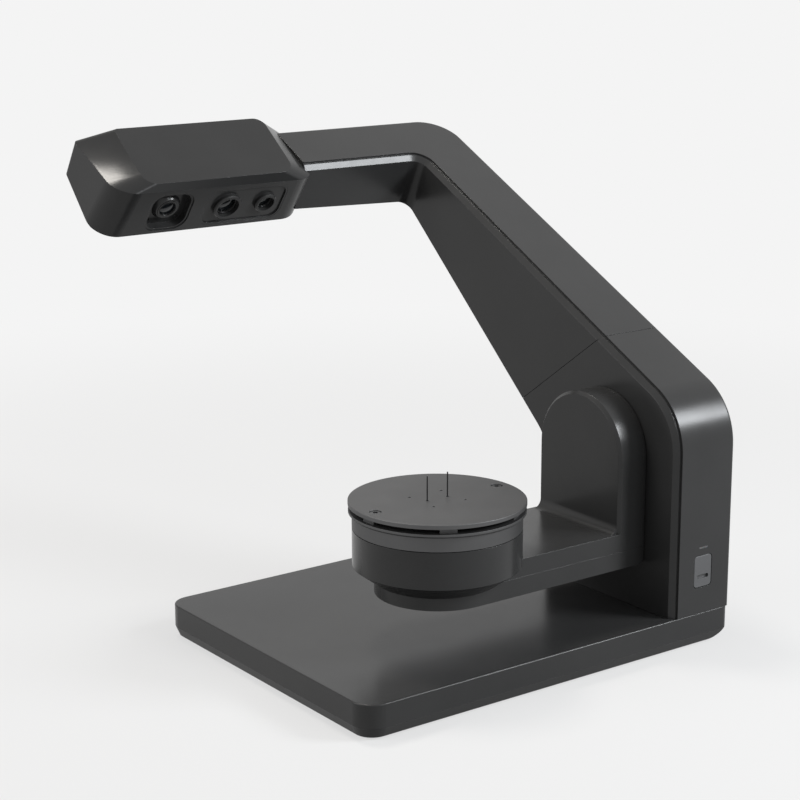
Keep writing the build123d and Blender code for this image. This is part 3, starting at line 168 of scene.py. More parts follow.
class ScannerSizes(bpy.types.PropertyGroup):
    """Sizes of the fine pieces."""

    head_tilt: bpy.props.FloatProperty(
        name="Head tilt", description="How far the optical axes look down", default=radians(37.3),
        subtype="ANGLE", unit="ROTATION")
    edge_round: bpy.props.FloatProperty(
        name="Edge rounding", description="Rounding of the housings' edges, in millimetres",
        default=0.3, min=0.0, max=2.0)
    lens_bulge: bpy.props.FloatProperty(
        name="Lens bulge", description="How far a lens stands out at its middle", default=0.7 * MM,
        subtype="DISTANCE", unit="LENGTH")
    ring_count: bpy.props.IntProperty(
        name="Thread rings", description="Rings of thread in front of each lens", default=4, min=1, max=12)
    ring_pitch: bpy.props.FloatProperty(
        name="Thread pitch", description="Distance from ring to ring", default=0.35 * MM,
        subtype="DISTANCE", unit="LENGTH")
    recess_share: bpy.props.FloatProperty(
        name="Recess", description="Width of a screw's recess as a share of its head", default=0.52,
        min=0.1, max=0.9, subtype="FACTOR")
    contact_count: bpy.props.IntProperty(
        name="Contacts", description="Contact strips on the data socket's tongue", default=4, min=1, max=8)


class ScannerColours(bpy.types.PropertyGroup):
    """Colours of the finishes."""

    shell: bpy.props.FloatVectorProperty(
        name="Housing", description="Moulded housings", subtype="COLOR", size=3,
        default=(0.027, 0.027, 0.027))
    black: bpy.props.FloatVectorProperty(
        name="Black plastic", description="Lens mounts and sockets", subtype="COLOR", size=3,
        default=(0.013, 0.013, 0.0132))
    plate: bpy.props.FloatVectorProperty(
        name="Plate", description="Coated fixture plate", subtype="COLOR", size=3,
        default=(0.095, 0.095, 0.096))
    button: bpy.props.FloatVectorProperty(
        name="Button", description="Power button", subtype="COLOR", size=3, default=(0.085, 0.0855, 0.088))
    glow: bpy.props.FloatVectorProperty(
        name="Light", description="Light guide over the button", subtype="COLOR", size=3,
        default=(0.07, 0.072, 0.074))


class StudioSettings(bpy.types.PropertyGroup):
    """Camera and lights."""

    camera_at: bpy.props.FloatVectorProperty(
        name="Camera", description="Where the camera stands", size=3, subtype="TRANSLATION", unit="LENGTH",
        default=(-0.6759, -0.8735, 0.4184))
    azimuth: bpy.props.FloatProperty(
        name="Azimuth", description="Turn of the camera about the object", default=radians(-36.33),
        subtype="ANGLE", unit="ROTATION")
    elevation: bpy.props.FloatProperty(
        name="Elevation", description="How far the camera looks down", default=radians(14.01),
        subtype="ANGLE", unit="ROTATION")
    roll: bpy.props.FloatProperty(
        name="Roll", description="Turn about the line of sight", default=radians(-0.14),
        subtype="ANGLE", unit="ROTATION")
    focal: bpy.props.FloatProperty(
        name="Focal length", description="Lens of the camera, in millimetres", default=89.41, min=10.0)
    surround: bpy.props.FloatProperty(
        name="Surround", description="Strength of the even light all round", default=0.28, min=0.0)
    backdrop: bpy.props.FloatProperty(
        name="Backdrop", description="Tone of floor and backdrop", default=0.905, min=0.0, max=1.0)
    floor_share: bpy.props.FloatProperty(
        name="Shadow", description="How much of the floor's tone comes from the lamps near the object",
        default=0.18, min=0.0, max=1.0, subtype="FACTOR")
    lamp_light: bpy.props.FloatProperty(
        name="Lamp light", description="The lamps' light on the floor near the object", default=1.65, min=0.0)
    bounce: bpy.props.FloatProperty(
        name="Bounce", description="How much light the floor throws back on the object", default=0.3,
        min=0.0, max=1.0, subtype="FACTOR")


# ------------------------------------------------------------------ finishes


def moulded_finish(name, colour, roughness, *, grain_mm=0.45, grain_depth_mm=0.01, specular=0.22,
                   rounding_mm=None):
    """Fine-grained moulded plastic: even tone, soft sheen, touched patches a little duller."""
    finish = Finish(name)
    rounding = finish.rounded(rounding_mm or bpy.context.scene.scanner_sizes.edge_round)
    cloud = finish.noise(38.0, detail=3.0)
    speck = finish.noise(1.1, detail=1.0)
    grain = finish.noise(grain_mm, detail=2.0, roughness=0.6)
    tone = finish.ramp(cloud * 0.75 + speck * 0.25, 0.3, 0.7)
    touched = finish.ramp(finish.noise(13.0, detail=4.0, roughness=0.55), 0.35, 0.75)
    finish.set(Base_Color=finish.tint(tone, scaled(colour, 0.94), scaled(colour, 1.06)),
               Roughness=roughness + touched * 0.03 + (grain - 0.5) * 0.02,
               Normal=finish.bump(grain, grain_depth_mm, 0.06, rounding), Specular_IOR_Level=specular)
    return finish.material


def coated_plate_finish(name, colour, centre, roughness):
    """Dark satin coating over a turned disc: faint rings round its middle."""
    ring_pitch = 0.42 * MM
    finish = Finish(name)
    local = finish.add("ShaderNodeVectorMath", {"operation": "SUBTRACT"},
                       {0: finish.place, 1: centre}, "Vector")
    flat = finish.add("ShaderNodeVectorMath", {"operation": "MULTIPLY"}, {0: local, 1: (1, 1, 0)}, "Vector")
    radius = finish.add("ShaderNodeVectorMath", {"operation": "LENGTH"}, {0: flat}, "Value")
    rings = (radius * (tau / ring_pitch) + finish.noise(6.0, detail=2.0) * 1.6).math("SINE")
    cloud = finish.noise(22.0, detail=3.0)
    speck = finish.noise(0.5, detail=1.0)
    tone = finish.ramp(cloud * 0.8 + speck * 0.2, 0.3, 0.7)
    finish.set(Base_Color=finish.tint(tone, scaled(colour, 0.95), scaled(colour, 1.05)),
               Roughness=roughness + rings * 0.012 + (speck - 0.5) * 0.06, Metallic=1.0,
               Normal=finish.bump(rings * 0.3 + speck, 0.005, 0.2, finish.rounded(0.3)))
    return finish.material


def machined_finish(name, colour, roughness, *, line_mm=0.3, along=(1.0, 1.0, 1.0)):
    """Machined or drawn metal: fine lines and darker smudges."""
    finish = Finish(name)
    stretched = finish.add("ShaderNodeMapping", {"vector_type": "POINT"},
                           {"Vector": finish.place, "Scale": along})
    lines = finish.add("ShaderNodeTexNoise", None,
                       {"Vector": stretched, "Scale": 1 / (line_mm * MM), "Detail": 3.0}, "Fac")
    smudge = finish.ramp(finish.noise(9.0, detail=4.0), 0.35, 0.75)
    finish.set(Base_Color=finish.tint(smudge, colour, scaled(colour, 0.84)),
               Roughness=roughness + smudge * 0.1 + (lines - 0.5) * 0.16, Metallic=1.0,
               Normal=finish.bump(lines, 0.01, 0.3, finish.rounded(0.25)))
    return finish.material


def rubber_finish(name, colour):
    """Dull rubber with dust in its pores."""
    finish = Finish(name)
    pores = finish.noise(0.7, detail=3.0, roughness=0.65)
    dust = finish.ramp(finish.noise(5.0, detail=4.0), 0.45, 0.8)
    finish.set(Base_Color=finish.tint(dust * 0.5, colour, scaled(colour, 2.6)),
               Roughness=0.78 + pores * 0.12,
               Normal=finish.bump(pores, 0.03, 0.5, finish.rounded(0.4)))
    return finish.material


def glass_finish(name, tint):
    """Coated lens glass over a blackened mount: almost black with a trace of dust; its colour lightens
    towards grazing view as a painted sheen of the coating.
    """
    finish = Finish(name)
    dust = finish.ramp(finish.noise(0.8, detail=5.0, roughness=0.7), 0.62, 0.8)
    # Painted sheen: the glass colour lightens towards grazing view, standing in for the coating's reflection.
    painted_grazing_sheen = finish.add("ShaderNodeLayerWeight", None, {"Blend": 0.4}, "Facing")
    finish.set(Base_Color=finish.tint(painted_grazing_sheen, tint, scaled(tint, 2.5)), Roughness=0.07 + dust * 0.08,
               IOR=1.52, Specular_IOR_Level=0.4)
    return finish.material


def guide_finish(name, colour):
    """Clouded light guide, unlit."""
    finish = Finish(name)
    haze = finish.noise(1.6, detail=3.0)
    finish.set(Base_Color=finish.tint(haze, colour, scaled(colour, 0.8)),
               Roughness=0.28 + haze * 0.14, Normal=finish.bump(haze, 0.01, 0.2, finish.rounded(0.15)),
               Subsurface_Weight=0.2, Subsurface_Scale=0.001)
    return finish.material


def board_finish(name, bare_x):
    """Circuit board with solder-masked tracks; what stands off it, below bare_x, is dark."""
    finish = Finish(name)
    x = finish.add("ShaderNodeSeparateXYZ", None, {0: finish.place})
    on_board = x.math("GREATER_THAN", bare_x)
    turned = finish.add("ShaderNodeMapping", {"vector_type": "POINT"},
                        {"Vector": finish.place, "Rotation": (0.0, pi / 2, 0.0)})
    tracks = finish.add("ShaderNodeTexBrick", {"offset": 0.5},
                        {"Vector": turned, "Scale": 260.0, "Mortar Size": 0.06}, "Fac")
    pads = finish.ramp(finish.noise(1.3, detail=0.0), 0.64, 0.67)
    mask = finish.tint(tracks, (0.008, 0.07, 0.028), (0.02, 0.14, 0.06))
    board = finish.tint(pads, mask, (0.75, 0.6, 0.32))
    parts = finish.tint(finish.noise(3.0, detail=2.0), (0.012, 0.012, 0.013), (0.05, 0.05, 0.052))
    body = finish.tint(on_board, parts, board)
    finish.set(Base_Color=body, Roughness=0.4 - pads * 0.1 + finish.noise(0.8) * 0.1,
               Normal=finish.bump(tracks + pads * 0.5, 0.04, 0.4, finish.rounded(0.2)))
    return finish.material


def make_finishes():
    """Every finish of the scanner, by name."""
    colours = bpy.context.scene.scanner_colours
    shell, black, plate = tuple(colours.shell), tuple(colours.black), tuple(colours.plate)
    centre = tuple(middle("fixture_plate"))
    board_depth = 1.7 * MM                      # the bare board, at the circuit board's high x side
    board_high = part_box("main_board")[1]
    return {
        "housing": moulded_finish("satin_housing", shell, 0.24),
        # Painted shade: the head uses the housing's plastic darkened to 0.85, for its downward-facing front.
        "head": moulded_finish("shaded_satin_head", scaled(shell, 0.85), 0.2, rounding_mm=0.2),
        "tray": moulded_finish("tray_plastic", scaled(shell, 0.7), 0.42, grain_mm=0.6, grain_depth_mm=0.02),
        "black": moulded_finish("black_plastic", black, 0.27, grain_mm=0.35, specular=0.35, rounding_mm=0.25),
        "mount": moulded_finish("lens_mount_black", scaled(black, 0.8), 0.24, grain_mm=0.3,
                                grain_depth_mm=0.006, specular=0.4, rounding_mm=0.2),
        "button": moulded_finish("button_plastic", tuple(colours.button), 0.4, grain_mm=0.3,
                                 grain_depth_mm=0.008, specular=0.3, rounding_mm=0.2),
        "plate": coated_plate_finish("coated_plate", plate, centre, 0.56),
        "platter": coated_plate_finish("coated_platter", scaled(plate, 0.9), centre, 0.55),
        "steel": machined_finish("turned_steel", (0.5, 0.5, 0.51), 0.28),
        "dark_steel": machined_finish("blackened_steel", (0.08, 0.08, 0.082), 0.34),
        "pin": machined_finish("drawn_steel", (0.05, 0.05, 0.051), 0.3, line_mm=0.2, along=(1.0, 1.0, 0.05)),
        "aluminium": machined_finish("milled_aluminium", (0.72, 0.72, 0.735), 0.34, line_mm=0.4,
                                     along=(0.08, 1.0, 1.0)),
        "brass": machined_finish("hobbed_brass", (0.72, 0.52, 0.24), 0.27),
        "gold": machined_finish("gilt_contact", (0.85, 0.62, 0.3), 0.2),
        "rubber": rubber_finish("foot_rubber", (0.014, 0.014, 0.014)),
        "glass": glass_finish("coated_glass", (0.004, 0.005, 0.006)),
        "guide": guide_finish("light_guide", tuple(colours.glow)),
        "board": board_finish("circuit_board", board_high.x - board_depth),
    }


FINISHES = {}


def dress(finish, *nodes):
    """CAD nodes in one of the finishes."""
    for name in nodes:
        for slot in NODES[name].material_slots:
            slot.material = FINISHES[finish]


def new_piece(name, mesh, finish, body):
    """A piece at the origin that rides on a body; a mesh without a material gets the finish."""
    piece = bpy.data.objects.new(name, mesh)
    bpy.context.scene.collection.objects.link(piece)
    if not mesh.materials:
        mesh.materials.append(FINISHES[finish])
    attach(piece, body)
    return piece


def middle(node):
    low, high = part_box(node)
    return (low + high) / 2


def islands(node):
    """The middle, low corner and high corner of each of a CAD node's separate solids."""
    mesh = bmesh.new()
    mesh.from_mesh(NODES[node].data)
    bmesh.ops.remove_doubles(mesh, verts=mesh.verts, dist=1e-6)
    left, found = set(mesh.verts), []
    while left:
        stack, group = [left.pop()], []
        while stack:
            vert = stack.pop()
            group.append(vert.co.copy())
            for edge in vert.link_edges:
                other = edge.other_vert(vert)
                if other in left:
                    left.remove(other)
                    stack.append(other)
        low = Vector([min(p[i] for p in group) for i in range(3)])
        high = Vector([max(p[i] for p in group) for i in range(3)])
        found.append(((low + high) / 2, low, high))
    mesh.free()
    return sorted(found, key=lambda item: tuple(round(v, 5) for v in item[0]))


# ------------------------------------------------------------------ repeated pieces


class Repeat(Tree):
    """A Geometry Nodes tree with named inputs, ending in Realize Instances and Set Material."""

    def __init__(self, name, sizes):
        group = bpy.data.node_groups.new(name, "GeometryNodeTree")
        super().__init__(group)
        self.group = group
        self.values = {}
        group.interface.new_socket("Geometry", in_out="INPUT", socket_type="NodeSocketGeometry")
        group.interface.new_socket("Geometry", in_out="OUTPUT", socket_type="NodeSocketGeometry")
        for label, (kind, value) in sizes.items():
            socket = group.interface.new_socket(label, in_out="INPUT", socket_type=kind)
            self.values[socket.identifier] = value
        self.inputs = group.nodes.new("NodeGroupInput")
        self.outputs = group.nodes.new("NodeGroupOutput")

    def size(self, label):
        return Field(self, self.inputs.outputs[label])

    def finish(self, geometry, material):
        plain = self.add("GeometryNodeRealizeInstances", None, {0: geometry})
        painted = self.add("GeometryNodeSetMaterial", None, {"Geometry": plain, "Material": material})
        self.feed(self.outputs.inputs[0], painted)

    def mesh(self, name, points):
        """The tree's result on a mesh of points, as a plain mesh."""
        source = bpy.data.meshes.new(name + "_points")
        source.from_pydata([tuple(p) for p in points], [], [])
        holder = bpy.data.objects.new(name + "_points", source)
        bpy.context.scene.collection.objects.link(holder)
        modifier = holder.modifiers.new(name, "NODES")
        modifier.node_group = self.group
        for identifier, value in self.values.items():
            modifier[identifier] = value
        bpy.context.view_layer.update()
        graph = bpy.context.evaluated_depsgraph_get()
        result = bpy.data.meshes.new_from_object(holder.evaluated_get(graph))
        result.name = name
        holder.modifiers.remove(modifier)
        bpy.data.objects.remove(holder)
        return result


def smooth(mesh, angle=35.0):
    """Smooth faces with sharp edges above an angle, and normals that point outwards."""
    work = bmesh.new()
    work.from_mesh(mesh)
    bmesh.ops.remove_doubles(work, verts=work.verts, dist=1e-7)
    bmesh.ops.recalc_face_normals(work, faces=work.faces)
    for face in work.faces:
        face.smooth = True
    for edge in work.edges:
        if len(edge.link_faces) == 2:
            edge.smooth = edge.calc_face_angle(0.0) < radians(angle)
    work.to_mesh(mesh)
    work.free()
    return mesh


def optical_axis():
    """The direction in which the optics look, out of the head."""
    tilt = bpy.context.scene.scanner_sizes.head_tilt
    return Vector((0.0, -cos(tilt), -sin(tilt)))


def face_matrix(point):
    """Places local +Z on the optical axis, out of the head, at a point."""
    out = optical_axis()
    up = Vector((0.0, out.z, -out.y))
    side = up.cross(out)
    return Matrix.Translation(point) @ Matrix((side, up, out)).transposed().to_4x4()


class Screw(NamedTuple):
    """A round-headed screw, in metres."""

    head_radius: float
    head_height: float
    shank_radius: float
    shank_length: float


def screw_mesh(name, spots, screw, upright, material):
    """Screws with a hexagonal recess, one at each spot.

    A spot is the middle of the head's underside; upright turns local +Z to where the head points.
    """
    recess_depth = 0.6                          # as a share of the head's height
    share = bpy.context.scene.scanner_sizes.recess_share
    tree = Repeat(name, {
        "Head radius": ("NodeSocketFloat", screw.head_radius),
        "Head height": ("NodeSocketFloat", screw.head_height),
        "Shank radius": ("NodeSocketFloat", screw.shank_radius),
        "Shank length": ("NodeSocketFloat", screw.shank_length),
        "Recess share": ("NodeSocketFloat", share)})
    disc = tree.add("GeometryNodeMeshCircle", {"fill_type": "NGON"},
                    {"Vertices": 24, "Radius": tree.size("Head radius")})
    up = tree.add("ShaderNodeCombineXYZ", None, {"Z": tree.size("Head height")})
    head = tree.add("GeometryNodeExtrudeMesh", {"mode": "FACES"},
                    {"Mesh": disc, "Offset": up, "Offset Scale": 1.0, "Individual": False})
    rim = tree.add("GeometryNodeExtrudeMesh", {"mode": "FACES"},
                   {"Mesh": head, "Selection": head.out("Top"), "Offset Scale": 0.0, "Individual": False})
    inner = tree.add("GeometryNodeScaleElements", {"domain": "FACE"},
                     {"Geometry": rim, "Selection": rim.out("Top"), "Scale": tree.size("Recess share")})
    place = tree.add("GeometryNodeInputPosition")
    parts = tree.add("ShaderNodeSeparateXYZ", None, {0: place})
    angle = tree.add("ShaderNodeMath", {"operation": "ARCTAN2"}, {0: parts.out("Y"), 1: parts.out("X")})
    sector = tree.add("ShaderNodeMath", {"operation": "WRAP"}, {0: angle, 1: pi / 6, 2: -pi / 6})
    hexagon = cos(pi / 6) / sector.math("COSINE")
    flat = tree.add("ShaderNodeCombineXYZ", None,
                    {"X": parts.out("X") * hexagon, "Y": parts.out("Y") * hexagon, "Z": parts.out("Z")})
    keyed = tree.add("GeometryNodeSetPosition", None,
                     {"Geometry": inner, "Selection": rim.out("Top"), "Position": flat})
    down = tree.add("ShaderNodeCombineXYZ", None, {"Z": tree.size("Head height") * -recess_depth})
    sunk = tree.add("GeometryNodeExtrudeMesh", {"mode": "FACES"},
                    {"Mesh": keyed, "Selection": rim.out("Top"), "Offset": down, "Offset Scale": 1.0,
                     "Individual": False})
    shank = tree.add("GeometryNodeMeshCylinder", {"fill_type": "NGON"},
                     {"Vertices": 16, "Radius": tree.size("Shank radius"),
                      "Depth": tree.size("Shank length")})
    drop = tree.add("ShaderNodeCombineXYZ", None, {"Z": tree.size("Shank length") * -0.5})
    hung = tree.add("GeometryNodeTransform", None, {"Geometry": shank, "Translation": drop})
    joined = tree.add("GeometryNodeJoinGeometry")
    for part in (sunk, hung):
        tree.tree.links.new(part.socket, joined.socket.node.inputs[0])
    turned = tree.add("GeometryNodeTransform", None, {"Geometry": joined, "Rotation": upright.to_euler()[:]})
    points = Field(tree, tree.inputs.outputs["Geometry"])
    copies = tree.add("GeometryNodeInstanceOnPoints", None, {"Points": points, "Instance": turned})
    tree.finish(copies, material)
    return smooth(tree.mesh(name, spots))


def thread_mesh(name, radius, matrix, material):
    """A stack of fine rings inside a lens mount."""
    wire = 0.11 * MM
    sizes = bpy.context.scene.scanner_sizes
    tree = Repeat(name, {
        "Radius": ("NodeSocketFloat", radius), "Rings": ("NodeSocketInt", sizes.ring_count),
        "Pitch": ("NodeSocketFloat", sizes.ring_pitch), "Wire": ("NodeSocketFloat", wire)})
    circle = tree.add("GeometryNodeCurvePrimitiveCircle", None,
                      {"Resolution": 64, "Radius": tree.size("Radius")})
    section = tree.add("GeometryNodeCurvePrimitiveCircle", None,
                       {"Resolution": 6, "Radius": tree.size("Wire")})
    ring = tree.add("GeometryNodeCurveToMesh", None, {"Curve": circle, "Profile Curve": section})
    step = tree.add("ShaderNodeCombineXYZ", None, {"Z": tree.size("Pitch")})
    row = tree.add("GeometryNodeMeshLine", None, {"Count": tree.size("Rings"), "Offset": step})
    copies = tree.add("GeometryNodeInstanceOnPoints", None, {"Points": row, "Instance": ring})
    tree.finish(copies, material)
    mesh = tree.mesh(name, [(0, 0, 0)])
    mesh.transform(matrix)
    return smooth(mesh)


def contact_mesh(name, first, width, length, thickness, step, count, material):
    """Contact strips side by side on the socket's tongue."""
    tree = Repeat(name, {
        "Width": ("NodeSocketFloat", width), "Length": ("NodeSocketFloat", length),
        "Thickness": ("NodeSocketFloat", thickness), "Step": ("NodeSocketFloat", step),
        "Count": ("NodeSocketInt", count)})
    block = tree.add("ShaderNodeCombineXYZ", None,
                     {"X": tree.size("Thickness"), "Y": tree.size("Length"), "Z": tree.size("Width")})
    strip = tree.add("GeometryNodeMeshCube", None,
                     {"Size": block, "Vertices X": 2, "Vertices Y": 5, "Vertices Z": 3})
    offset = tree.add("ShaderNodeCombineXYZ", None, {"Z": tree.size("Step")})
    row = tree.add("GeometryNodeMeshLine", None,
                   {"Count": tree.size("Count"), "Start Location": tuple(first), "Offset": offset})
    copies = tree.add("GeometryNodeInstanceOnPoints", None, {"Points": row, "Instance": strip})
    tree.finish(copies, material)
    return smooth(tree.mesh(name, [(0, 0, 0)]))


def lathe(name, profile, matrix, segments=72):
    """A closed turned form: profile holds (radius, height) from the middle of one side to the other's."""
    work = bmesh.new()
    turns = [tau * k / segments for k in range(segments)]
    rings = []
    for radius, height in profile:
        places = [(radius * cos(turn), radius * sin(turn)) for turn in turns] if radius else [(0, 0)]
        rings.append([work.verts.new((x, y, height)) for x, y in places])
    for a, b in zip(rings, rings[1:]):
        for k in range(segments):
            corners = [a[k % len(a)], a[(k + 1) % len(a)], b[(k + 1) % len(b)], b[k % len(b)]]
            unique = list(dict.fromkeys(corners))
            if len(unique) > 2:
                work.faces.new(unique)
    mesh = bpy.data.meshes.new(name)
    work.to_mesh(mesh)
    work.free()
    mesh.transform(matrix)
    return smooth(mesh, 40.0)


# ------------------------------------------------------------------ pieces


class SCANNER_OT_housings(bpy.types.Operator):
    """Finish the base, the column and the leaning arm"""

    bl_idname = "scanner.housings"
    bl_label = "Housings"

    def execute(self, context):
        dress("housing", "base_deck_shell", "column_outer_shell", "column_side_cover", "arm_outer_shell",
              "arm_side_cover")
        dress("tray", "base_bottom_tray")
        return {"FINISHED"}


class SCANNER_OT_head(bpy.types.Operator):
    """Finish the scan head's covers and lens panels"""

    bl_idname = "scanner.head"
    bl_label = "Scan head"

    def execute(self, context):
        dress("head", "head_lower_shell", "head_top_cover", "left_lens_pocket", "lens_panel")
        dress("mount", "left_camera_barrel", "projector_barrel", "right_camera_barrel")
        dress("aluminium", "left_camera_body", "projector_body", "right_camera_body", "head_frame_plate",
              "head_bracket")
        return {"FINISHED"}


class SCANNER_OT_lenses(bpy.types.Operator):
    """Make a curved lens and its thread rings in each of the optics"""

    bl_idname = "scanner.lenses"
    bl_label = "Lenses"

    half = 0.5 * MM                             # of the lens's thickness, without its bulge
    gap = 0.02 * MM                             # round the lens, and round the thread rings
    thread_start = 0.45 * MM                    # in front of the lens's rim

    def profile(self, radius, bulge):
        """Half of a lens's section, from the middle of its back to the middle of its bulging front."""
        steps, dome = 10, 0.97                  # dome: the bulge's width as a share of the lens's
        back = [(0.0, -self.half), (radius * 0.5, -self.half), (radius, -self.half)]
        shares = [k / steps for k in range(steps, -1, -1)]
        front = [(radius * dome * share, self.half + bulge * (1 - share * share)) for share in shares]
        return [*back, (radius, self.half * 0.7), *front]

    def execute(self, context):
        for name in ("left_camera", "projector", "right_camera"):
            node, lens, thread = name + "_glass", name + "_lens", name + "_thread"
            low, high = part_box(node)
            radius = (high.x - low.x) / 2 - self.gap
            matrix = face_matrix(middle(node))
            section = self.profile(radius, context.scene.scanner_sizes.lens_bulge)
            glass = new_piece(lens, lathe(lens, section, matrix), "glass", "stand")
            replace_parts(glass, node)
            start = matrix @ Matrix.Translation((0, 0, self.half + self.thread_start))
            rings = thread_mesh(thread, radius - self.gap, start, FINISHES["mount"])
            new_piece(thread, rings, "mount", "stand")
        return {"FINISHED"}


class SCANNER_OT_screws(bpy.types.Operator):
    """Make the screws of the tray, the lens pocket and the fixture plate"""

    bl_idname = "scanner.screws"
    bl_label = "Screws"

    def make(self, name, node, body, spots, screw, upright):
        """A set of screws in place of a CAD node."""
        mesh = screw_mesh(name, spots, screw, upright, FINISHES["dark_steel"])
        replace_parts(new_piece(name, mesh, "dark_steel", body), node)

    def execute(self, context):
        head_down = Matrix.Rotation(pi, 4, "X")
        underside, shorter = 1.55 * MM, 1.6 * MM    # from the solid's end; the shank against the solid
        solids = islands("base_screws")
        low, high = solids[0][1:]
        spots = [(m.x, m.y, low.z + underside) for m, low, high in solids]
        screw = Screw(head_radius=2.5 * MM, head_height=1.5 * MM, shank_radius=1.4 * MM,
                      shank_length=high.z - low.z - shorter)
        self.make("tray_screws", "base_screws", "stand", spots, screw, head_down)

        toward_floor = Matrix.Rotation(pi / 2 + context.scene.scanner_sizes.head_tilt, 4, "X")
        inwards = optical_axis() * 0.55 * MM        # from the solid's middle to the head's underside
        spots = [m - inwards for m, low, high in islands("pocket_screws")]
        screw = Screw(head_radius=1.25 * MM, head_height=1.1 * MM, shank_radius=0.7 * MM,
                      shank_length=0.4 * MM)
        self.make("pocket_screw_set", "pocket_screws", "stand", spots, screw, toward_floor)

        underside, shorter = 1.2 * MM, 1.25 * MM
        solids = islands("plate_screws")
        low, high = solids[0][1:]
        spots = [(m.x, m.y, high.z - underside) for m, low, high in solids]
        screw = Screw(head_radius=2.95 * MM, head_height=1.15 * MM, shank_radius=1.5 * MM,
                      shank_length=high.z - low.z - shorter)
        self.make("plate_screw_set", "plate_screws", "turntable", spots, screw, Matrix.Identity(4))
        return {"FINISHED"}


class SCANNER_OT_turntable(bpy.types.Operator):
    """Finish the fixture plate, the platter and the pins"""

    bl_idname = "scanner.turntable"
    bl_label = "Turntable"

    def execute(self, context):
        dress("plate", "fixture_plate")
        dress("platter", "turntable_platter")
        dress("pin", "support_pins")
        dress("steel", "turntable_spindle")
        dress("brass", "turntable_gear")
        return {"FINISHED"}


class SCANNER_OT_swing_arm(bpy.types.Operator):
    """Finish the swing arm, its drum and its works"""

    bl_idname = "scanner.swing_arm"
    bl_label = "Swing arm"

    def execute(self, context):
        dress("housing", "swing_arm_upper_shell", "swing_arm_lower_shell", "swing_arm_back_cover",
              "turntable_drum")
        dress("aluminium", "swing_arm_frame")
        dress("steel", "swing_shaft", "spindle_bearings", "turntable_motor", "turntable_motor_pinion")
        dress("brass", "swing_gear")
        return {"FINISHED"}


class SCANNER_OT_controls(bpy.types.Operator):
    """Finish the power button and its light"""

    bl_idname = "scanner.controls"
    bl_label = "Button and light"

    def execute(self, context):
        dress("button", "power_button")
        dress("guide", "power_light_guide")
        dress("black", "power_switch")
        return {"FINISHED"}


class SCANNER_OT_sockets(bpy.types.Operator):
    """Finish the sockets at the back and make the data socket's contacts"""

    bl_idname = "scanner.sockets"
    bl_label = "Sockets"

    def execute(self, context):
        dress("black", "power_inlet", "usb_socket")
        width, length, thickness, step = 0.6 * MM, 6.0 * MM, 0.12 * MM, 1.15 * MM
        tongue_face, depth = 1.2 * MM, 4.8 * MM     # from the socket's middle; from its end to the strips'
        count = context.scene.scanner_sizes.contact_count
        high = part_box("usb_socket")[1]
        centre = middle("usb_socket")
        first = (centre.x - tongue_face - thickness / 2, high.y - depth, centre.z - step * (count - 1) / 2)
        mesh = contact_mesh("data_contacts", first, width, length, thickness, step, count, FINISHES["gold"])
        new_piece("data_contacts", mesh, "gold", "stand")
        return {"FINISHED"}


class SCANNER_OT_works(bpy.types.Operator):
    """Finish the ballast, frames, motors, bearings, boards and feet"""

    bl_idname = "scanner.works"
    bl_label = "Works"

    def execute(self, context):
        dress("rubber", "rubber_feet")
        dress("steel", "ballast_plate", "swing_bearings", "swing_motor", "swing_motor_pinion")
        dress("aluminium", "column_frame_plate", "arm_spine", "swing_bearing_housing", "swing_motor_bracket")
        dress("board", "main_board", "button_board")
        return {"FINISHED"}


# ------------------------------------------------------------------ studio


def add_camera(settings):
    """The camera of the photograph: turned by azimuth, elevation and roll, aimed through its middle."""
    back = Vector((sin(settings.azimuth) * cos(settings.elevation),
                   -cos(settings.azimuth) * cos(settings.elevation), sin(settings.elevation)))
    right = Vector((0, 0, 1)).cross(back).normalized()
    up = back.cross(right)
    across = right * cos(settings.roll) + up * sin(settings.roll)
    upright = up * cos(settings.roll) - right * sin(settings.roll)
    data = bpy.data.cameras.new("photo_camera")
    data.lens = settings.focal
    data.sensor_width = 36.0
    data.clip_start = 0.01
    data.clip_end = 60.0
    camera = bpy.data.objects.new("photo_camera", data)
    turn = Matrix((across, upright, back)).transposed().to_4x4()
    camera.matrix_world = Matrix.Translation(settings.camera_at) @ turn
    bpy.context.scene.collection.objects.link(camera)
    bpy.context.scene.camera = camera


class Softbox(NamedTuple):
    """A softbox that stands in a direction from its target and faces it; metres and watts."""

    name: str
    target: tuple
    direction: tuple
    distance: float
    width: float
    height: float
    power: float
    colour: tuple

    def add(self):
        data = bpy.data.lights.new(self.name, "AREA")
        data.shape = "RECTANGLE"
        data.size = self.width
        data.size_y = self.height
        data.energy = self.power
        data.color = self.colour
        light = bpy.data.objects.new(self.name, data)
        away = Vector(self.direction).normalized()
        turn = (-away).to_track_quat("-Z", "Y").to_matrix().to_4x4()
        light.matrix_world = Matrix.Translation(Vector(self.target) + away * self.distance) @ turn
        light.visible_camera = False
        bpy.context.scene.collection.objects.link(light)


BEAM, HEAD_BEVEL, TURNTABLE = (0.04, 0.138, 0.263), (-0.127, 0.15, 0.3), (-0.05, -0.03, 0.15)
COOL, WARM, WHITE = (0.94, 0.97, 1.0), (1.0, 0.96, 0.9), (1.0, 1.0, 1.0)
SOFTBOXES = (
    Softbox("softbox_right", BEAM, (0.57, -0.73, 0.37), 1.3, 0.4, 0.4, 18.0, COOL),
    Softbox("softbox_front", BEAM, (0.2, -0.93, 0.3), 1.6, 0.5, 0.6, 5.5, COOL),
    Softbox("softbox_above", HEAD_BEVEL, (0.04, 0.32, 0.95), 1.2, 0.3, 0.4, 11.0, WARM),
    Softbox("softbox_left", TURNTABLE, (-0.85, 0.31, 0.42), 1.3, 0.9, 1.1, 10.0, WHITE))


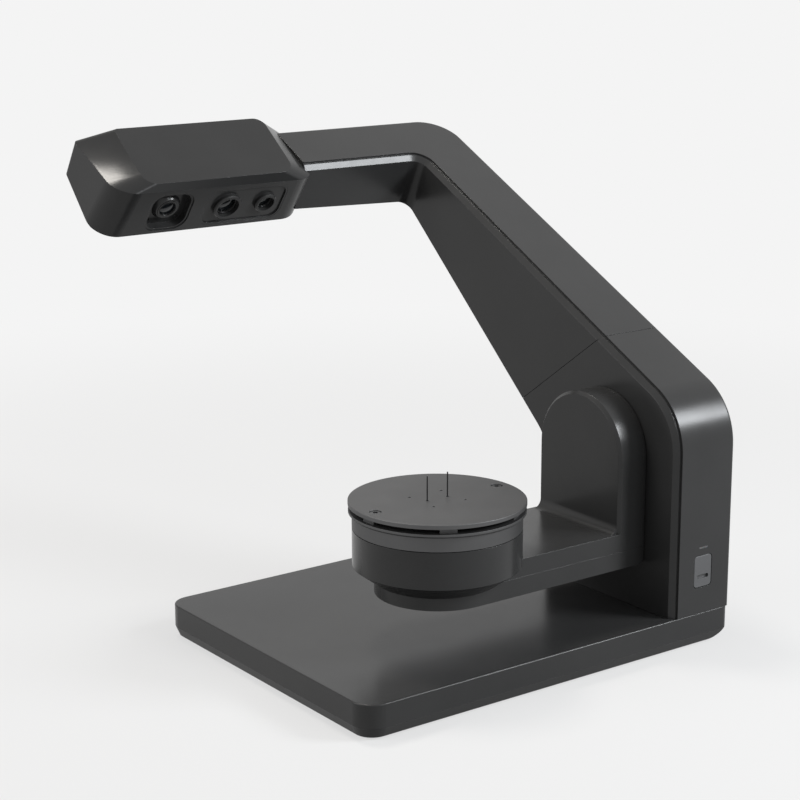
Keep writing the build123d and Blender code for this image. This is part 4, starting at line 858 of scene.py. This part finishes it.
def seen_rays(tree):
    """1 for rays of the camera, of mirrors and of glass, which see the backdrop's tone."""
    paths = tree.add("ShaderNodeLightPath")
    mirrored = paths.out("Is Glossy Ray").math("MAXIMUM", paths.out("Is Transmission Ray"))
    return paths.out("Is Camera Ray").math("MAXIMUM", mirrored)


def add_floor(settings):
    """A wide pale floor: its shadow is soft near the object and fades into an even tone further out."""
    radius, drop = 14.0, 0.2 * MM               # drop: how far the floor lies below the feet
    near_end, far_start = 0.3, 1.0              # between these distances the shadow fades out
    work = bmesh.new()
    bmesh.ops.create_circle(work, cap_ends=True, segments=64, radius=radius)
    mesh = bpy.data.meshes.new("studio_floor")
    work.to_mesh(mesh)
    work.free()
    floor = bpy.data.objects.new("studio_floor", mesh)
    floor.location.z = -drop
    bpy.context.scene.collection.objects.link(floor)
    finish = Finish("pale_floor")
    distance = finish.add("ShaderNodeVectorMath", {"operation": "LENGTH"}, {0: finish.place}, "Value")
    near = finish.ramp(distance, near_end, far_start, 1.0, 0.0)
    lit = near * settings.floor_share
    seen = seen_rays(finish)
    tone = finish.grey(seen * lit + (1 - seen) * settings.bounce)
    glow = finish.grey(seen * (settings.backdrop - lit * settings.lamp_light))
    finish.set(Base_Color=tone, Emission_Color=glow, Roughness=0.9, Emission_Strength=1.0,
               Specular_IOR_Level=0.0)
    finish.material.cycles.emission_sampling = "NONE"
    mesh.materials.append(finish.material)


def add_world(settings):
    """Even pale light all round; the camera, mirrors and glass see the backdrop's tone."""
    world = bpy.data.worlds.new("studio_world")
    world.use_nodes = True
    tree = Tree(world.node_tree)
    ground = world.node_tree.nodes["Background"]
    strength = seen_rays(tree) * (settings.backdrop - settings.surround) + settings.surround
    ground.inputs["Color"].default_value = (1.0, 1.0, 1.0, 1.0)
    tree.feed(ground.inputs["Strength"], strength)
    world.cycles.sampling_method = "NONE"
    bpy.context.scene.world = world


class SCANNER_OT_studio(bpy.types.Operator):
    """Set up the floor, the lights and the camera"""

    bl_idname = "scanner.studio"
    bl_label = "Studio"

    def execute(self, context):
        settings = context.scene.scanner_studio
        add_floor(settings)
        add_world(settings)
        for softbox in SOFTBOXES:
            softbox.add()
        add_camera(settings)
        context.scene.view_settings.view_transform = "Standard"
        return {"FINISHED"}


class SCANNER_PT_panel(bpy.types.Panel):
    """The scanner's pieces and settings"""

    bl_label = "Desktop 3D scanner"
    bl_idname = "SCANNER_PT_panel"
    bl_space_type = "VIEW_3D"
    bl_region_type = "UI"
    bl_category = "Scanner"

    def draw(self, context):
        column = self.layout.column()
        for operator in PIECES:
            column.operator(operator.bl_idname)
        for name in GROUPS:
            group = getattr(context.scene, name)
            section = self.layout.box()
            for setting in group.__annotations__:
                section.prop(group, setting)


PIECES = (
    SCANNER_OT_housings, SCANNER_OT_head, SCANNER_OT_lenses, SCANNER_OT_screws, SCANNER_OT_turntable,
    SCANNER_OT_swing_arm, SCANNER_OT_controls, SCANNER_OT_sockets, SCANNER_OT_works, SCANNER_OT_studio)
GROUPS = {"scanner_sizes": ScannerSizes, "scanner_colours": ScannerColours, "scanner_studio": StudioSettings}


def register():
    for group in GROUPS.values():
        bpy.utils.register_class(group)
    for operator in PIECES:
        bpy.utils.register_class(operator)
    bpy.utils.register_class(SCANNER_PT_panel)
    for name, group in GROUPS.items():
        setattr(bpy.types.Scene, name, bpy.props.PointerProperty(type=group))


def unregister():
    for name in GROUPS:
        delattr(bpy.types.Scene, name)
    bpy.utils.unregister_class(SCANNER_PT_panel)
    for operator in reversed(PIECES):
        bpy.utils.unregister_class(operator)
    for group in reversed(GROUPS.values()):
        bpy.utils.unregister_class(group)


def main():
    register()
    FINISHES.update(make_finishes())
    bpy.ops.scanner.housings()
    bpy.ops.scanner.head()
    bpy.ops.scanner.lenses()
    bpy.ops.scanner.screws()
    bpy.ops.scanner.turntable()
    bpy.ops.scanner.swing_arm()
    bpy.ops.scanner.controls()
    bpy.ops.scanner.sockets()
    bpy.ops.scanner.works()
    bpy.ops.scanner.studio()


if __name__ == "__main__":
    main()
